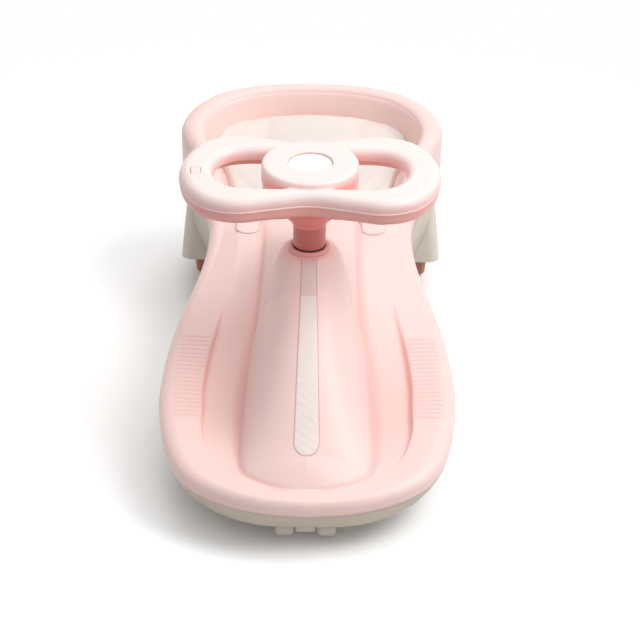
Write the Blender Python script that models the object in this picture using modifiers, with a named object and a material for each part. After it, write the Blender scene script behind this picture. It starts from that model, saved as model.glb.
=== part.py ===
# Kids ride-on swing car with a butterfly steering wheel, bucket seat and hidden front steering wheels.
# Metres, +Z up, front of the car towards -Y, symmetric about X = 0, tyres standing on Z = 0.
import bpy
import bmesh
import math
import numpy as np
from mathutils import Matrix, Vector
from mathutils.bvhtree import BVHTree

# Overall sizes
car_length = 0.770
front_width = 0.356
car_height = 0.378
wall = 0.0028
skirt_wall = 0.0026
gap = 0.0003

# Steering column
column_y = -0.14935 * car_length
column_radius = 0.0195
core_radius = 0.0070
collar_radius = 0.0235
collar_height = 0.0050
hump_top = 0.6931 * car_height
housing_radius = 0.0190
housing_flange = 0.0225
housing_hole = 0.0150
bush_wall = 0.0030
bush_height = 0.0160

# Steering wheel
rim_half_width = 0.153
rim_lobe_depth = 0.083
rim_pinch_depth = 0.069
hub_rise = 0.0070
cover_height = 0.0165
pan_height = 0.0160
rim_top = car_height - hub_rise
rim_parting = rim_top - cover_height
rim_bottom = rim_parting - pan_height
grip_width = 0.0380
opening_outer = rim_half_width - grip_width
opening_depth = rim_lobe_depth - 0.0340
opening_corner = math.radians(62)
hub_radius = 0.0575
opening_inner = hub_radius - 0.0055
badge_radius = 0.0265
button_length = 0.0170
button_width = 0.0125
button_travel = 0.0012

# Front wheel set
front_wheel_radius = 0.0420
front_wheel_width = 0.0230
front_track = 0.30899 * front_width
front_offset = 0.0600
roller_radius = 0.0125
roller_width = 0.0220
roller_spacing = 0.0490
roller_offset = 0.3078 * car_length
roller_clearance = 0.0130
roller_pin_radius = 0.0025
axle_radius = 0.0040
axle_end_play = 0.0027
beam_top = 2 * front_wheel_radius + 0.0100
beam_height = 0.0140
housing_bottom = 2 * front_wheel_radius + 0.0380

# Rear wheels
rear_axle_y = 0.38961 * car_length
rear_wheel_radius = 0.0480
rear_wheel_width = 0.0230
rear_track = front_width - 0.0640
bracket_x = 0.2388 * front_width
bracket_half_width = 0.0060
bracket_half_length = 0.0150
bracket_drop = 0.0110
steering_opening = front_width / 2 - 0.0380
floor_height = rear_wheel_radius + 0.0290
arch_front_reach = 0.0850
arch_rear_reach = 0.0600
arch_low = 0.0550

# Light strip and foot grips
strip_front_y = -0.4247 * car_length
strip_rear_y = -0.1844 * car_length
strip_rear_half = 0.0090
strip_front_half = 0.0155
lens_thickness = 0.0030
board_thickness = 0.0016
groove_count = 20
groove_pitch = 0.01247 * car_length
groove_depth = 0.0008
groove_width = 0.0028
grip_front_y = -0.33935 * car_length

# Surface resolution of the lofted body
station_marks = np.array([0, 1, 2, 3, 4, 5, 6, 6.6, 7.15, 7.6, 7.85, 8.1, 8.35, 8.6, 9, 9.6, 10.3, 11.1,
                          12, 13, 14, 15, 16, 17, 18, 19, 20, 21, 22])
hump_columns = 6
valley_columns = 3
rest_columns = 5
roll_columns = 4
round_sides = 28
small_sides = 16


def start():
    for thing in list(bpy.data.objects):
        bpy.data.objects.remove(thing, do_unlink=True)
    for mesh in list(bpy.data.meshes):
        bpy.data.meshes.remove(mesh)
    parts = bpy.data.collections.new("kids_swing_car")
    tools = bpy.data.collections.new("cutters")
    bpy.context.scene.collection.children.link(parts)
    bpy.context.scene.collection.children.link(tools)
    return parts, tools


parts, tools = start()


def material(name, colour, roughness, metallic=0.0):
    made = bpy.data.materials.new(name)
    made.use_nodes = True
    shader = made.node_tree.nodes["Principled BSDF"]
    shader.inputs["Base Color"].default_value = (*colour, 1.0)
    shader.inputs["Roughness"].default_value = roughness
    shader.inputs["Metallic"].default_value = metallic
    made.diffuse_color = (*colour, 1.0)
    made.roughness = roughness
    made.metallic = metallic
    return made


pink = material("pink_plastic", (0.87, 0.56, 0.53), 0.42)
cream = material("cream_plastic", (0.78, 0.72, 0.64), 0.45)
white = material("white_badge", (0.90, 0.90, 0.88), 0.25)
tyre_rubber = material("dusty_tyre", (0.55, 0.24, 0.17), 0.70)
black = material("black_rubber", (0.03, 0.03, 0.03), 0.60)
steel = material("bright_steel", (0.60, 0.60, 0.61), 0.30, 1.0)
milky = material("milky_lens", (0.80, 0.74, 0.68), 0.30)
grey = material("grey_plastic", (0.35, 0.35, 0.36), 0.50)
pad_cover = material("cream_pad", (0.80, 0.74, 0.68), 0.60)


# Mesh helpers
def link(name, mesh, slot, home=parts):
    piece = bpy.data.objects.new(name, mesh)
    home.objects.link(piece)
    if slot is not None:
        mesh.materials.clear()
        mesh.materials.append(slot)
    return piece


def from_bmesh(name, work, slot, home=parts):
    bmesh.ops.recalc_face_normals(work, faces=work.faces)
    mesh = bpy.data.meshes.new(name)
    work.to_mesh(mesh)
    work.free()
    return link(name, mesh, slot, home)


def evaluated_mesh(piece):
    bpy.context.view_layer.update()
    graph = bpy.context.evaluated_depsgraph_get()
    return bpy.data.meshes.new_from_object(piece.evaluated_get(graph))


def settle(piece):
    made = evaluated_mesh(piece)
    piece.modifiers.clear()
    old = piece.data
    piece.data = made
    bpy.data.meshes.remove(old)
    return piece


def combine(piece, cutter, operation="DIFFERENCE"):
    change = piece.modifiers.new("change", "BOOLEAN")
    change.operation = operation
    change.solver = "EXACT"
    change.object = cutter
    settle(piece)
    hide(cutter)
    return piece


def hide(cutter):
    for home in list(cutter.users_collection):
        home.objects.unlink(cutter)
    tools.objects.link(cutter)
    cutter.hide_render = True
    cutter.display_type = "WIRE"


def cylinder(name, radius, low, high, slot=None, at=(0, 0, 0), axis="Z", sides=round_sides, radius_top=None, home=parts):
    work = bmesh.new()
    bmesh.ops.create_cone(work, cap_ends=True, segments=sides, radius1=radius,
                          radius2=radius if radius_top is None else radius_top, depth=high - low)
    bmesh.ops.translate(work, verts=work.verts, vec=(0, 0, (high + low) / 2))
    if axis == "X":
        bmesh.ops.rotate(work, verts=work.verts, matrix=Matrix.Rotation(math.pi / 2, 3, "Y"))
    if axis == "Y":
        bmesh.ops.rotate(work, verts=work.verts, matrix=Matrix.Rotation(-math.pi / 2, 3, "X"))
    bmesh.ops.translate(work, verts=work.verts, vec=at)
    return from_bmesh(name, work, slot, home)


def box(name, low, high, slot=None, round_by=0.0, home=parts):
    work = bmesh.new()
    bmesh.ops.create_cube(work, size=1.0)
    size = [h - l for l, h in zip(low, high)]
    middle = [(h + l) / 2 for l, h in zip(low, high)]
    bmesh.ops.scale(work, verts=work.verts, vec=size)
    bmesh.ops.translate(work, verts=work.verts, vec=middle)
    if round_by:
        bmesh.ops.bevel(work, geom=work.edges[:], offset=round_by, segments=1, affect="EDGES", profile=0.5)
    return from_bmesh(name, work, slot, home)


def turned(name, profile, slot, at=(0, 0, 0), axis="Z", sides=round_sides, home=parts):
    """Closed (radius, height) outline turned about its axis with the Screw modifier."""
    mesh = bpy.data.meshes.new(name)
    edges = [(i, (i + 1) % len(profile)) for i in range(len(profile))
             if profile[i][0] > 0 or profile[(i + 1) % len(profile)][0] > 0]
    mesh.from_pydata([(r, 0.0, z) for r, z in profile], edges, [])
    piece = link(name, mesh, slot, home)
    spin = piece.modifiers.new("turn", "SCREW")
    spin.axis = "Z"
    spin.steps = sides
    spin.render_steps = sides
    spin.use_merge_vertices = True
    spin.merge_threshold = 0.0001
    settle(piece)
    work = bmesh.new()
    work.from_mesh(piece.data)
    bmesh.ops.remove_doubles(work, verts=work.verts, dist=0.00002)
    if axis == "X":
        bmesh.ops.rotate(work, verts=work.verts, matrix=Matrix.Rotation(math.pi / 2, 3, "Y"))
    bmesh.ops.translate(work, verts=work.verts, vec=at)
    bmesh.ops.recalc_face_normals(work, faces=work.faces)
    work.to_mesh(piece.data)
    work.free()
    piece.data.materials.clear()
    piece.data.materials.append(slot)
    return piece


def plate(name, outlines, low, high, slot, round_by=0.0, shrink=0.0, home=parts):
    """Flat outline with holes, filled on both sides and given a thickness and rounded edges."""
    curve = bpy.data.curves.new(name, "CURVE")
    curve.dimensions = "2D"
    curve.fill_mode = "BOTH"
    curve.extrude = (high - low) / 2 - round_by
    curve.bevel_depth = round_by
    curve.bevel_resolution = 2
    curve.offset = shrink - round_by
    for points in outlines:
        spline = curve.splines.new("POLY")
        spline.points.add(len(points) - 1)
        spline.points.foreach_set("co", np.array([(x, y, 0, 1) for x, y in points]).ravel())
        spline.use_cyclic_u = True
    drawn = bpy.data.objects.new(name + "_outline", curve)
    tools.objects.link(drawn)
    mesh = evaluated_mesh(drawn)
    bpy.data.objects.remove(drawn, do_unlink=True)
    work = bmesh.new()
    work.from_mesh(mesh)
    bpy.data.meshes.remove(mesh)
    bmesh.ops.remove_doubles(work, verts=work.verts, dist=0.00002)
    bmesh.ops.translate(work, verts=work.verts, vec=(0, 0, (high + low) / 2))
    return from_bmesh(name, work, slot, home)


def place_origin(piece, point):
    shift = Vector(point)
    piece.data.transform(Matrix.Translation(-shift))
    piece.location = shift
    return piece


def mirrored(piece, name):
    mesh = piece.data.copy()
    mesh.transform(Matrix.Translation(piece.location))
    mesh.transform(Matrix.Scale(-1, 4, (1, 0, 0)))
    mesh.flip_normals()
    twin = link(name, mesh, piece.data.materials[0])
    return place_origin(twin, (-piece.location.x, piece.location.y, piece.location.z))


def smooth(value):
    value = np.clip(value, 0.0, 1.0)
    return value * value * (3 - 2 * value)


def through(values):
    """Values read at the station marks, on a Catmull-Rom curve through the given list."""
    values = np.asarray(values, float)
    padded = np.concatenate([[2 * values[0] - values[1]], values, [2 * values[-1] - values[-2]]])
    cell = np.minimum(station_marks.astype(int), len(values) - 2)
    f = station_marks - cell
    if values.ndim > 1:
        f = f[:, None]
    a, b, c, d = (padded[cell + k] for k in range(4))
    return 0.5 * (2 * b + (c - a) * f + (2 * a - 5 * b + 4 * c - d) * f ** 2 + (3 * b - a - 3 * c + d) * f ** 3)


# Plan of the body: half outline from the nose round to the back, and where each section starts inside
half = front_width / 2
long_half = car_length / 2
outline_x = half * np.array([0, .28, .517, .730, .871, .955, .994, 1.0, .972, .921, .843, .770, .736,
                             .736, .778, .862, .948, .975, .926, .822, .650, .336, 0])
outline_y = long_half * np.array([-1, -.987, -.953, -.893, -.810, -.691, -.577, -.473, -.312, -.171, -.026,
                                  .117, .234, .325, .429, .519, .610, .688, .792, .875, .943, .990, 1.0])
inside_y = long_half * np.array([-.870, -.857, -.836, -.800, -.745, -.665, -.569, -.470, -.312, -.171, -.026,
                                 .117, .234, .325, .416, .486, .545, .592, .631, .660, .681, .696, .701])
height = car_height
rear_edge = .4021
ridge = height * np.array([.286, .294, .310, .339, .389, .460, .532, .598, .683, .667, .598,
                           .519, .479, .466, .460, .460, .463, .466, .471, .476, .479, .481, .481])
foot_y = np.array([-1.0, -.94, -.78, -.65, -.52, -.39, -.26, -.13, 0, .13, .26, .40, .60, 1.0])
foot_z = np.array([.214, .220, .233, .243, .259, .286, .328, .378, .418, .444, .455, .458, .463, .476])
foot_half = np.array([.444, .444, .444, .438, .427, .416, .371, .354, .343, .337, .337, .337, .337, .337])
ledge = np.array([.70, .70, .70, .70, .71, .715, .69, .69, .68, .66, .66, .68, .70, .73,
                  .75, .76, .77, .765, .745, .72, .69, .665, .66])
brink = np.array([.86, .865, .87, .875, .88, .88, .88, .88, .885, .90, .90, .885, .87, .86,
                  .85, .845, .84, .835, .83, .82, .81, .80, .80])
ledge_z = height * np.array([.214, .215, .220, .225, .232, .243, .254, .267, .296, .341, .386, .428, .455, .466,
                             .468, .468, .471, .474, .479, .484, .487, .489, .489])
brink_z = height * np.array([.2050, .2080, .2140, .2230, .2370, .260, .2795, .296, .320, .3466, .3757, .4074, .4365,
                             .4709, .528, .586, .616, .625, .629, .632, .635, .638, .638])
edge_z = height * np.array([.1530, .1545, .1575, .1625, .1715, .1870, .2070, .2240, .2434, .2593, .2804, .3016,
                            .3201, .3439, .3783] + 8 * [rear_edge])
rim_part = np.array([0, 0, 0, 0, 0, 0, 0, 0, 0, 0, 0, 0, .1, .4, .75, 1, 1, 1, 1, 1, 1, 1, 1])
blade = np.array([0, 0, 0, 0, .15, .7, 1, 1, .8, .3, 0, 0, 0, 0, 0, 0, 0, 0, 0, 0, 0, 0, 0])
blade_step = 0.0085
crown = 0.0085
roll_drop = 0.0120
plateau_radius = 0.0270
plateau_blend = 0.0300


def foot_at(points):
    """Signed measure of the hump foot line in plan: below one inside the hump."""
    x, y = np.abs(points[:, 0]), points[:, 1]
    side = np.interp(y / long_half, foot_y, foot_half) * half
    nose_middle, nose_reach = -.78 * long_half, .165 * long_half
    forward = np.clip((nose_middle - y) / nose_reach, 0, None)
    return (x / side) ** 3 + forward ** 3


def body_half():
    """Half of the outer skin: rows from nose to back, columns from the middle line to the outer edge."""
    px, py = through(outline_x), through(outline_y)
    cy = through(inside_y)
    px[0] = px[-1] = 0.0
    top, tb, tc = through(ridge), through(ledge), through(brink)
    zb, zc, ze = through(ledge_z), through(brink_z), through(edge_z)
    rim, step = np.clip(through(rim_part), 0, 1), np.clip(through(blade), 0, 1) * blade_step
    trial = np.linspace(0.05, 0.69, 65)
    rows = []
    for i in range(len(station_marks)):
        start_point, end_point = np.array([0.0, cy[i]]), np.array([px[i], py[i]])
        along = start_point + trial[:, None] * (end_point - start_point)
        outside = np.nonzero(foot_at(along) > 1)[0]
        ta = trial[outside[0]] if len(outside) else tb[i] * 0.6
        ta = min(ta, tb[i] - 0.08)
        foot_point = start_point + ta * (end_point - start_point)
        za = np.interp(foot_point[1] / long_half, foot_y, foot_z) * height
        t, z = [0.0], [top[i]]
        for part in np.linspace(0, 1, hump_columns + 1)[1:]:
            t.append(ta * part)
            z.append(za + (top[i] - za) * (1 - part ** 2.3) ** 0.85)
        for part in np.linspace(0, 1, valley_columns + 1)[1:]:
            t.append(ta + (tb[i] - ta) * part)
            z.append(za + (zb[i] - za) * smooth(part))
        for part in np.linspace(0, 1, rest_columns + 1)[1:]:
            t.append(tb[i] + (tc[i] - tb[i]) * part)
            rise = (1 - rim[i]) * part + rim[i] * smooth(part)
            z.append(zb[i] + step[i] * min(1.0, rest_columns * part) + (zc[i] - zb[i] - step[i]) * rise)
        zw = zc[i] - roll_drop * (1 - 0.5 * rim[i])
        for part in np.linspace(0, 1, roll_columns + 1)[1:]:
            turn = math.pi * part
            spread = (1 - rim[i]) * math.sin(turn / 2) + rim[i] * (1 - math.cos(turn)) / 2
            t.append(tc[i] + (1 - tc[i]) * spread)
            z.append(zw + (zc[i] - zw) * math.cos(turn / 2) + crown * rim[i] * math.sin(turn))
        for part in (0.5, 1.0):
            t.append(1 - 0.006 * part)
            z.append(zw + (ze[i] - zw) * part)
        t, z = np.array(t), np.array(z)
        plan = start_point + t[:, None] * (end_point - start_point)
        rows.append(np.column_stack([plan, z]))
    grid = np.array(rows)
    away = np.hypot(grid[..., 0], grid[..., 1] - column_y)
    level = smooth(1 - (away - plateau_radius) / plateau_blend)
    on_hump = away < 2 * plateau_radius
    grid[..., 2] = np.where(on_hump, grid[..., 2] + (hump_top - grid[..., 2]) * level, grid[..., 2])
    return grid


def skin(name, grid, slot, home=parts):
    """Mirror a half grid about X = 0 and join it into one open sheet facing up."""
    rows, columns = grid.shape[:2]
    work = bmesh.new()
    for sign in (1, -1):
        points = [[work.verts.new((sign * p[0], p[1], p[2])) for p in row] for row in grid]
        for i in range(rows - 1):
            for j in range(columns - 1):
                ring = (points[i][j], points[i][j + 1], points[i + 1][j + 1], points[i + 1][j])
                work.faces.new(ring if sign > 0 else ring[::-1])
    bmesh.ops.remove_doubles(work, verts=work.verts, dist=0.00005)
    bmesh.ops.recalc_face_normals(work, faces=work.faces)
    middle = max(work.faces, key=lambda face: face.calc_center_median().z)
    if middle.normal.z < 0:
        bmesh.ops.reverse_faces(work, faces=work.faces)
    mesh = bpy.data.meshes.new(name)
    work.to_mesh(mesh)
    work.free()
    return link(name, mesh, slot, home)


def thicken(piece, amount):
    shell = piece.modifiers.new("wall", "SOLIDIFY")
    shell.thickness = amount
    shell.offset = -1.0
    shell.use_rim = True
    settle(piece)
    work = bmesh.new()
    work.from_mesh(piece.data)
    bmesh.ops.triangulate(work, faces=work.faces)
    work.to_mesh(piece.data)
    work.free()
    return piece


body_grid = body_half()
upper_body = skin("upper_body", body_grid, pink)
sheet = bmesh.new()
sheet.from_mesh(upper_body.data)
surface = BVHTree.FromBMesh(sheet)
sheet.free()


def top_of_body(x, y):
    hit = surface.ray_cast(Vector((x, y, 1.0)), Vector((0, 0, -1)))
    return hit[0].z


thicken(upper_body, wall)
combine(upper_body, cylinder("column_hole", housing_hole, 0.5 * hump_top, 1.2 * hump_top,
                             at=(0, column_y, 0), home=tools))


# Light strip slot, lens and board
def strip_half(y):
    part = (y - strip_rear_y) / (strip_front_y - strip_rear_y)
    return strip_rear_half + (strip_front_half - strip_rear_half) * min(max(part, 0), 1)


def strip_outline(extra):
    """Tapered strip in plan: square at the column end, round at the nose end."""
    centre_y = strip_front_y + strip_front_half
    arc = [(math.cos(a) * (strip_front_half + extra), centre_y + math.sin(a) * (strip_front_half + extra))
           for a in np.linspace(0, -math.pi, 17)]
    rear = strip_rear_half + extra
    return [(rear, strip_rear_y + extra)] + arc + [(-rear, strip_rear_y + extra)]


slot_cutter = plate("strip_slot", [strip_outline(gap)], 0.1 * car_height, car_height, None, home=tools)
combine(upper_body, slot_cutter)


def draped(name, rows, low_offset, tops, slot, edge_round=0.0, spread=0.0):
    """Slab that follows the body surface: rows of (x, y) points, underside and top of each row set off from it."""
    work = bmesh.new()
    lower, upper = [], []
    count = len(rows[0])
    for i, (row, high_offset) in enumerate(zip(rows, tops)):
        low_row, high_row = [], []
        for j, (x, y) in enumerate(row):
            around = ((0, 0), (spread, 0), (-spread, 0), (0, spread), (0, -spread)) if spread else ((0, 0),)
            z = max(top_of_body(x + dx, y + dy) for dx, dy in around)
            border = min(i, len(rows) - 1 - i, j, count - 1 - j)
            drop = edge_round if border == 0 else 0.0
            low_row.append(work.verts.new((x, y, z + low_offset)))
            high_row.append(work.verts.new((x, y, z + high_offset - drop)))
        lower.append(low_row)
        upper.append(high_row)
    last, side = len(rows) - 1, count - 1
    for i in range(last):
        for j in range(side):
            work.faces.new((upper[i][j], upper[i][j + 1], upper[i + 1][j + 1], upper[i + 1][j]))
            work.faces.new((lower[i][j], lower[i + 1][j], lower[i + 1][j + 1], lower[i][j + 1]))
    for j in range(side):
        work.faces.new((upper[0][j + 1], upper[0][j], lower[0][j], lower[0][j + 1]))
        work.faces.new((upper[last][j], upper[last][j + 1], lower[last][j + 1], lower[last][j]))
    for i in range(last):
        work.faces.new((upper[i][0], upper[i + 1][0], lower[i + 1][0], lower[i][0]))
        work.faces.new((upper[i + 1][side], upper[i][side], lower[i][side], lower[i + 1][side]))
    return from_bmesh(name, work, slot)


def strip_rows(extra, front, rear, count=22):
    rows = []
    centre_y = strip_front_y + strip_front_half
    for y in np.linspace(front, rear, count):
        reach = strip_half(y)
        if y < centre_y:
            reach = math.sqrt(max(strip_front_half ** 2 - (centre_y - y) ** 2, 1e-6))
        reach = max(reach + extra, 0.004)
        rows.append([(reach * part, y) for part in np.linspace(-1, 1, 6)])
    return rows


light_lens = draped("light_lens", strip_rows(-gap, strip_front_y + 2 * gap, strip_rear_y - gap),
                    -lens_thickness, 22 * [0.0], milky, gap)
board_drop = lens_thickness + 2 * gap
board_rows = strip_rows(-0.004, strip_front_y + 2 * gap, strip_rear_y - gap)[2:-1]
light_board = draped("light_board", board_rows, -board_drop - board_thickness, len(board_rows) * [-board_drop], grey)

# Foot grip grooves on both foot rests
grip_inner = hump_columns + valley_columns + 1
grip_outer = hump_columns + valley_columns + rest_columns
grooves = bmesh.new()
for i in range(groove_count):
    y = grip_front_y + groove_pitch * i
    outer = np.interp(y, body_grid[3:20, grip_outer, 1], body_grid[3:20, grip_outer, 0]) - 0.001
    inner = np.interp(y, body_grid[3:20, grip_inner, 1], body_grid[3:20, grip_inner, 0]) + 0.003
    levels = [top_of_body(x, y) for x in (inner, outer)]
    for sign in (1, -1):
        for corner in bmesh.ops.create_cube(grooves, size=1.0)["verts"]:
            far = corner.co.x > 0
            corner.co = (sign * (outer if far else inner), y + groove_width * corner.co.y,
                         levels[far] + (0.004 if corner.co.z > 0 else -groove_depth))
combine(upper_body, from_bmesh("grooves", grooves, None, tools))

# Seat pad with two front tongues either side of the hump
pad_thickness = 0.0110
tongue_thickness = 0.0050
tongue_length = 0.0900
pad_lift = 0.0005
pad_edge_round = 0.0030
pad_front_y = 0.1636 * long_half
pad_wide_y = 0.7532 * long_half
pad_rear_y = 0.8649 * long_half
pad_notch_y = 0.3896 * long_half
pad_corner = 0.0120


def pad_half_width(y):
    part = (y - pad_front_y) / (pad_rear_y - pad_front_y)
    shares = [.5028, .5112, .5393, .5899, .6011, .5506, .4494, .2247]
    return half * float(np.interp(part, [0, .211, .456, .711, .841, .915, .970, 1], shares))


pad_rows = []
for y in np.concatenate([np.linspace(pad_front_y, pad_wide_y, 14),
                         np.linspace(pad_wide_y + 0.01, pad_rear_y, 5)]):
    corner = min(1.0, (y - pad_front_y) / pad_corner)
    reach = pad_half_width(y) - 0.25 * pad_corner * (1 - corner)
    pad_rows.append([(reach * part, y) for part in np.linspace(-1, 1, 13)])
tops = [tongue_thickness + (pad_thickness - tongue_thickness) * smooth((row[0][1] - pad_front_y) / tongue_length)
        for row in pad_rows]
seat_pad = draped("seat_pad", pad_rows, pad_lift, tops, pad_cover, pad_edge_round, 2 * pad_edge_round)
notch_half = 0.368 * half
notch_deep = 0.7 * notch_half
notch = [(math.cos(a) * notch_half, pad_notch_y - notch_deep + math.sin(a) * notch_deep)
         for a in np.linspace(0, math.pi, 19)]
notch = [(notch_half, 0.0)] + notch + [(-notch_half, 0.0)]
combine(seat_pad, plate("pad_notch", [notch], 0.1 * car_height, car_height, None, home=tools))


# Lower body: skirt and raised floor inside the outline of the upper body
def lower_half():
    px, py = through(outline_x), through(outline_y)
    cy = through(inside_y)
    px[0] = px[-1] = 0.0
    ze = through(edge_z) - gap
    where = station_marks
    tuck = np.interp(where, [0, 13, 14, 15.1, 18.6, 20.2, 22], [.004, .004, .008, .040, .048, .016, .005])
    taper = np.interp(where, [0, 3, 8, 12, 14, 15, 19, 22], [.008, .010, .014, .012, .014, .004, .004, .010])
    low = np.interp(where, [0, 7, 12, 15, 22], [.0395, .0430, .047, .060, .058])
    floor = np.interp(where, [0, 9, 12, 22], [.066, .070, floor_height, floor_height])
    rows = []
    for i in range(len(station_marks)):
        start_point, end_point = np.array([0.0, cy[i]]), np.array([px[i], py[i]])
        reach = np.hypot(*(end_point - start_point))
        ray = (end_point - start_point) / reach
        outer = reach - tuck[i]
        points = []
        for part in (0.0, 0.35, 0.7, 1.0):
            points.append((outer - taper[i] * part ** 2, ze[i] + (low[i] - ze[i]) * part))
        points.append((outer - taper[i] - 0.008, low[i]))
        points.append((outer - taper[i] - 0.016, floor[i]))
        rest = outer - taper[i] - 0.016
        for part in (0.66, 0.33, 0.0):
            points.append((rest * part, floor[i]))
        rows.append([(*(start_point + ray * distance), z) for distance, z in points[::-1]])
    return np.array(rows)


lower_body = skin("lower_body", lower_half(), cream)
work = bmesh.new()
work.from_mesh(lower_body.data)
bmesh.ops.recalc_face_normals(work, faces=work.faces)
lowest = min(work.faces, key=lambda face: face.calc_center_median().z)
if lowest.normal.z > 0:
    bmesh.ops.reverse_faces(work, faces=work.faces)
work.to_mesh(lower_body.data)
work.free()
thicken(lower_body, skirt_wall)
combine(lower_body, cylinder("steering_opening", steering_opening, 0.0, 1.27 * floor_height, at=(0, column_y, 0),
                             sides=64, home=tools))

# Wheel arches over the rear wheels, seated under the edge of the upper body
arch_front_y = rear_axle_y - arch_front_reach
arch_rear_y = rear_axle_y + arch_rear_reach
arch_high = rear_edge * car_height - gap


def wheel_arch(name):
    """Tapered cover: front, outer, rear and top faces thickened, open below and towards the car."""
    work = bmesh.new()
    centre = rear_track / 2
    middle_z = arch_low + 0.57 * (arch_high - arch_low)
    inner = centre - 0.0110
    levels = ((arch_high, centre + 0.0190), (middle_z, centre + 0.0235), (arch_low, centre + 0.0285))
    rings = []
    for z, outer in levels:
        lean = 0.006 * (z - arch_low) / (arch_high - arch_low)
        front, rear, corner, back = arch_front_y + lean, arch_rear_y - lean, 0.014, 0.030
        ring = [(inner, front), (outer - corner, front)]
        ring += [(outer - corner + corner * math.sin(a), front + corner - corner * math.cos(a))
                 for a in np.linspace(0.3, math.pi / 2, 5)]
        ring += [(outer - back + back * math.cos(a), rear - back + back * math.sin(a))
                 for a in np.linspace(0, 1.45, 6)]
        ring += [(inner, rear)]
        rings.append([work.verts.new((x, y, z)) for x, y in ring])
    for upper, lower in zip(rings, rings[1:]):
        for i in range(len(upper) - 1):
            work.faces.new((upper[i], upper[i + 1], lower[i + 1], lower[i]))
    work.faces.new(rings[0][::-1])
    bmesh.ops.recalc_face_normals(work, faces=work.faces)
    roof = max(work.faces, key=lambda face: face.calc_center_median().z)
    if roof.normal.z < 0:
        bmesh.ops.reverse_faces(work, faces=work.faces)
    mesh = bpy.data.meshes.new(name)
    work.to_mesh(mesh)
    work.free()
    return thicken(link(name, mesh, cream), 0.0025)


arch_left = wheel_arch("wheel_arch_left")
mirrored(arch_left, "wheel_arch_right")


# Wheels, rollers and axles
def tyre(name, radius, width, bore, centre, slot=tyre_rubber, sides=24):
    edge = width * 0.30
    arc = [(radius - edge + edge * math.sin(a), width / 2 - edge + edge * math.cos(a))
           for a in np.linspace(0, math.pi / 2, 4)]
    profile = [(bore, width / 2)] + arc + [(r, -z) for r, z in arc[::-1]] + [(bore, -width / 2)]
    return place_origin(turned(name, profile, slot, centre, "X", sides), centre)


def wheel_hub(name, radius, width, bore, centre, slot=cream):
    """Dished wheel centre: barrel with a thin web and an inner boss."""
    w = width / 2
    rim, web, boss = radius - 0.003, 0.002, bore + 0.0045
    profile = [(bore, w), (boss, w), (boss, web), (rim, web), (rim, w), (radius, w),
               (radius, -w), (rim, -w), (rim, -web), (boss, -web), (boss, -w), (bore, -w)]
    return place_origin(turned(name, profile, slot, centre, "X", 20), centre)


def axle(name, reach, centre):
    bar = cylinder(name, axle_radius, -reach, reach, steel, centre, "X", small_sides)
    return place_origin(bar, centre)


def axle_cap(name, centre, side, radius=0.0095):
    deep = 0.0055
    profile = [(0.0, deep), (radius * 0.55, deep), (radius * 0.85, deep * 0.75), (radius, deep * 0.3),
               (radius, 0.0), (axle_radius + gap, 0.0), (axle_radius + gap, deep * 0.55), (0.0, deep * 0.55)]
    cap = turned(name, [(r, z * side) for r, z in profile], cream, centre, "X", small_sides)
    return place_origin(cap, centre)


rear_centre = rear_track / 2
hub_ratio = 0.66
rear_hub_radius = rear_wheel_radius * hub_ratio
bore = axle_radius + gap
axle_end = rear_centre + rear_wheel_width / 2 + axle_end_play
axle("rear_axle", axle_end, (0, rear_axle_y, rear_wheel_radius))
for side, word in ((1, "left"), (-1, "right")):
    centre = (side * rear_centre, rear_axle_y, rear_wheel_radius)
    tyre("rear_tyre_" + word, rear_wheel_radius, rear_wheel_width, rear_hub_radius + gap, centre)
    wheel_hub("rear_hub_" + word, rear_hub_radius, rear_wheel_width, bore, centre)
    cap_x = side * (rear_centre + rear_wheel_width / 2 + gap)
    axle_cap("rear_cap_" + word, (cap_x, rear_axle_y, rear_wheel_radius), side)

front_y = column_y - front_offset
front_centre = front_track / 2
front_hub_radius = front_wheel_radius * hub_ratio
front_end = front_centre + front_wheel_width / 2 + axle_end_play
axle("front_axle", front_end, (0, front_y, front_wheel_radius))
for side, word in ((1, "left"), (-1, "right")):
    centre = (side * front_centre, front_y, front_wheel_radius)
    tyre("front_tyre_" + word, front_wheel_radius, front_wheel_width, front_hub_radius + gap, centre)
    wheel_hub("front_hub_" + word, front_hub_radius, front_wheel_width, bore, centre)
    cap_x = side * (front_centre + front_wheel_width / 2 + gap)
    axle_cap("front_cap_" + word, (cap_x, front_y, front_wheel_radius), side, 0.0085)

# Rear axle brackets under the floor
for side, word in ((1, "left"), (-1, "right")):
    middle = side * bracket_x
    low, high = middle - bracket_half_width, middle + bracket_half_width
    bracket = box("axle_bracket_" + word,
                  (low, rear_axle_y - bracket_half_length, rear_wheel_radius - bracket_drop),
                  (high, rear_axle_y + bracket_half_length, floor_height - gap), cream, 0.0015)
    combine(bracket, cylinder("bracket_bore", bore, low - bracket_half_width, high + bracket_half_width,
                              at=(0, rear_axle_y, rear_wheel_radius), axis="X", sides=32, home=tools))

# Steering arm: hub under the column, fork down to the axle, tongue forward to the anti tip rollers
roller_y = column_y - roller_offset
roller_z = roller_clearance + roller_radius
arm_top = housing_bottom - 0.0020
beam_low = beam_top - beam_height
boss_radius = 0.0260
socket_depth = 0.0240
arm_round = 0.0020
fork_half = front_centre - front_wheel_width / 2 - 0.0025
leg_width = 0.0070


def arm_piece(name, low, high):
    combine(steering_arm, box(name, low, high, None, arm_round, tools), "UNION")


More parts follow.
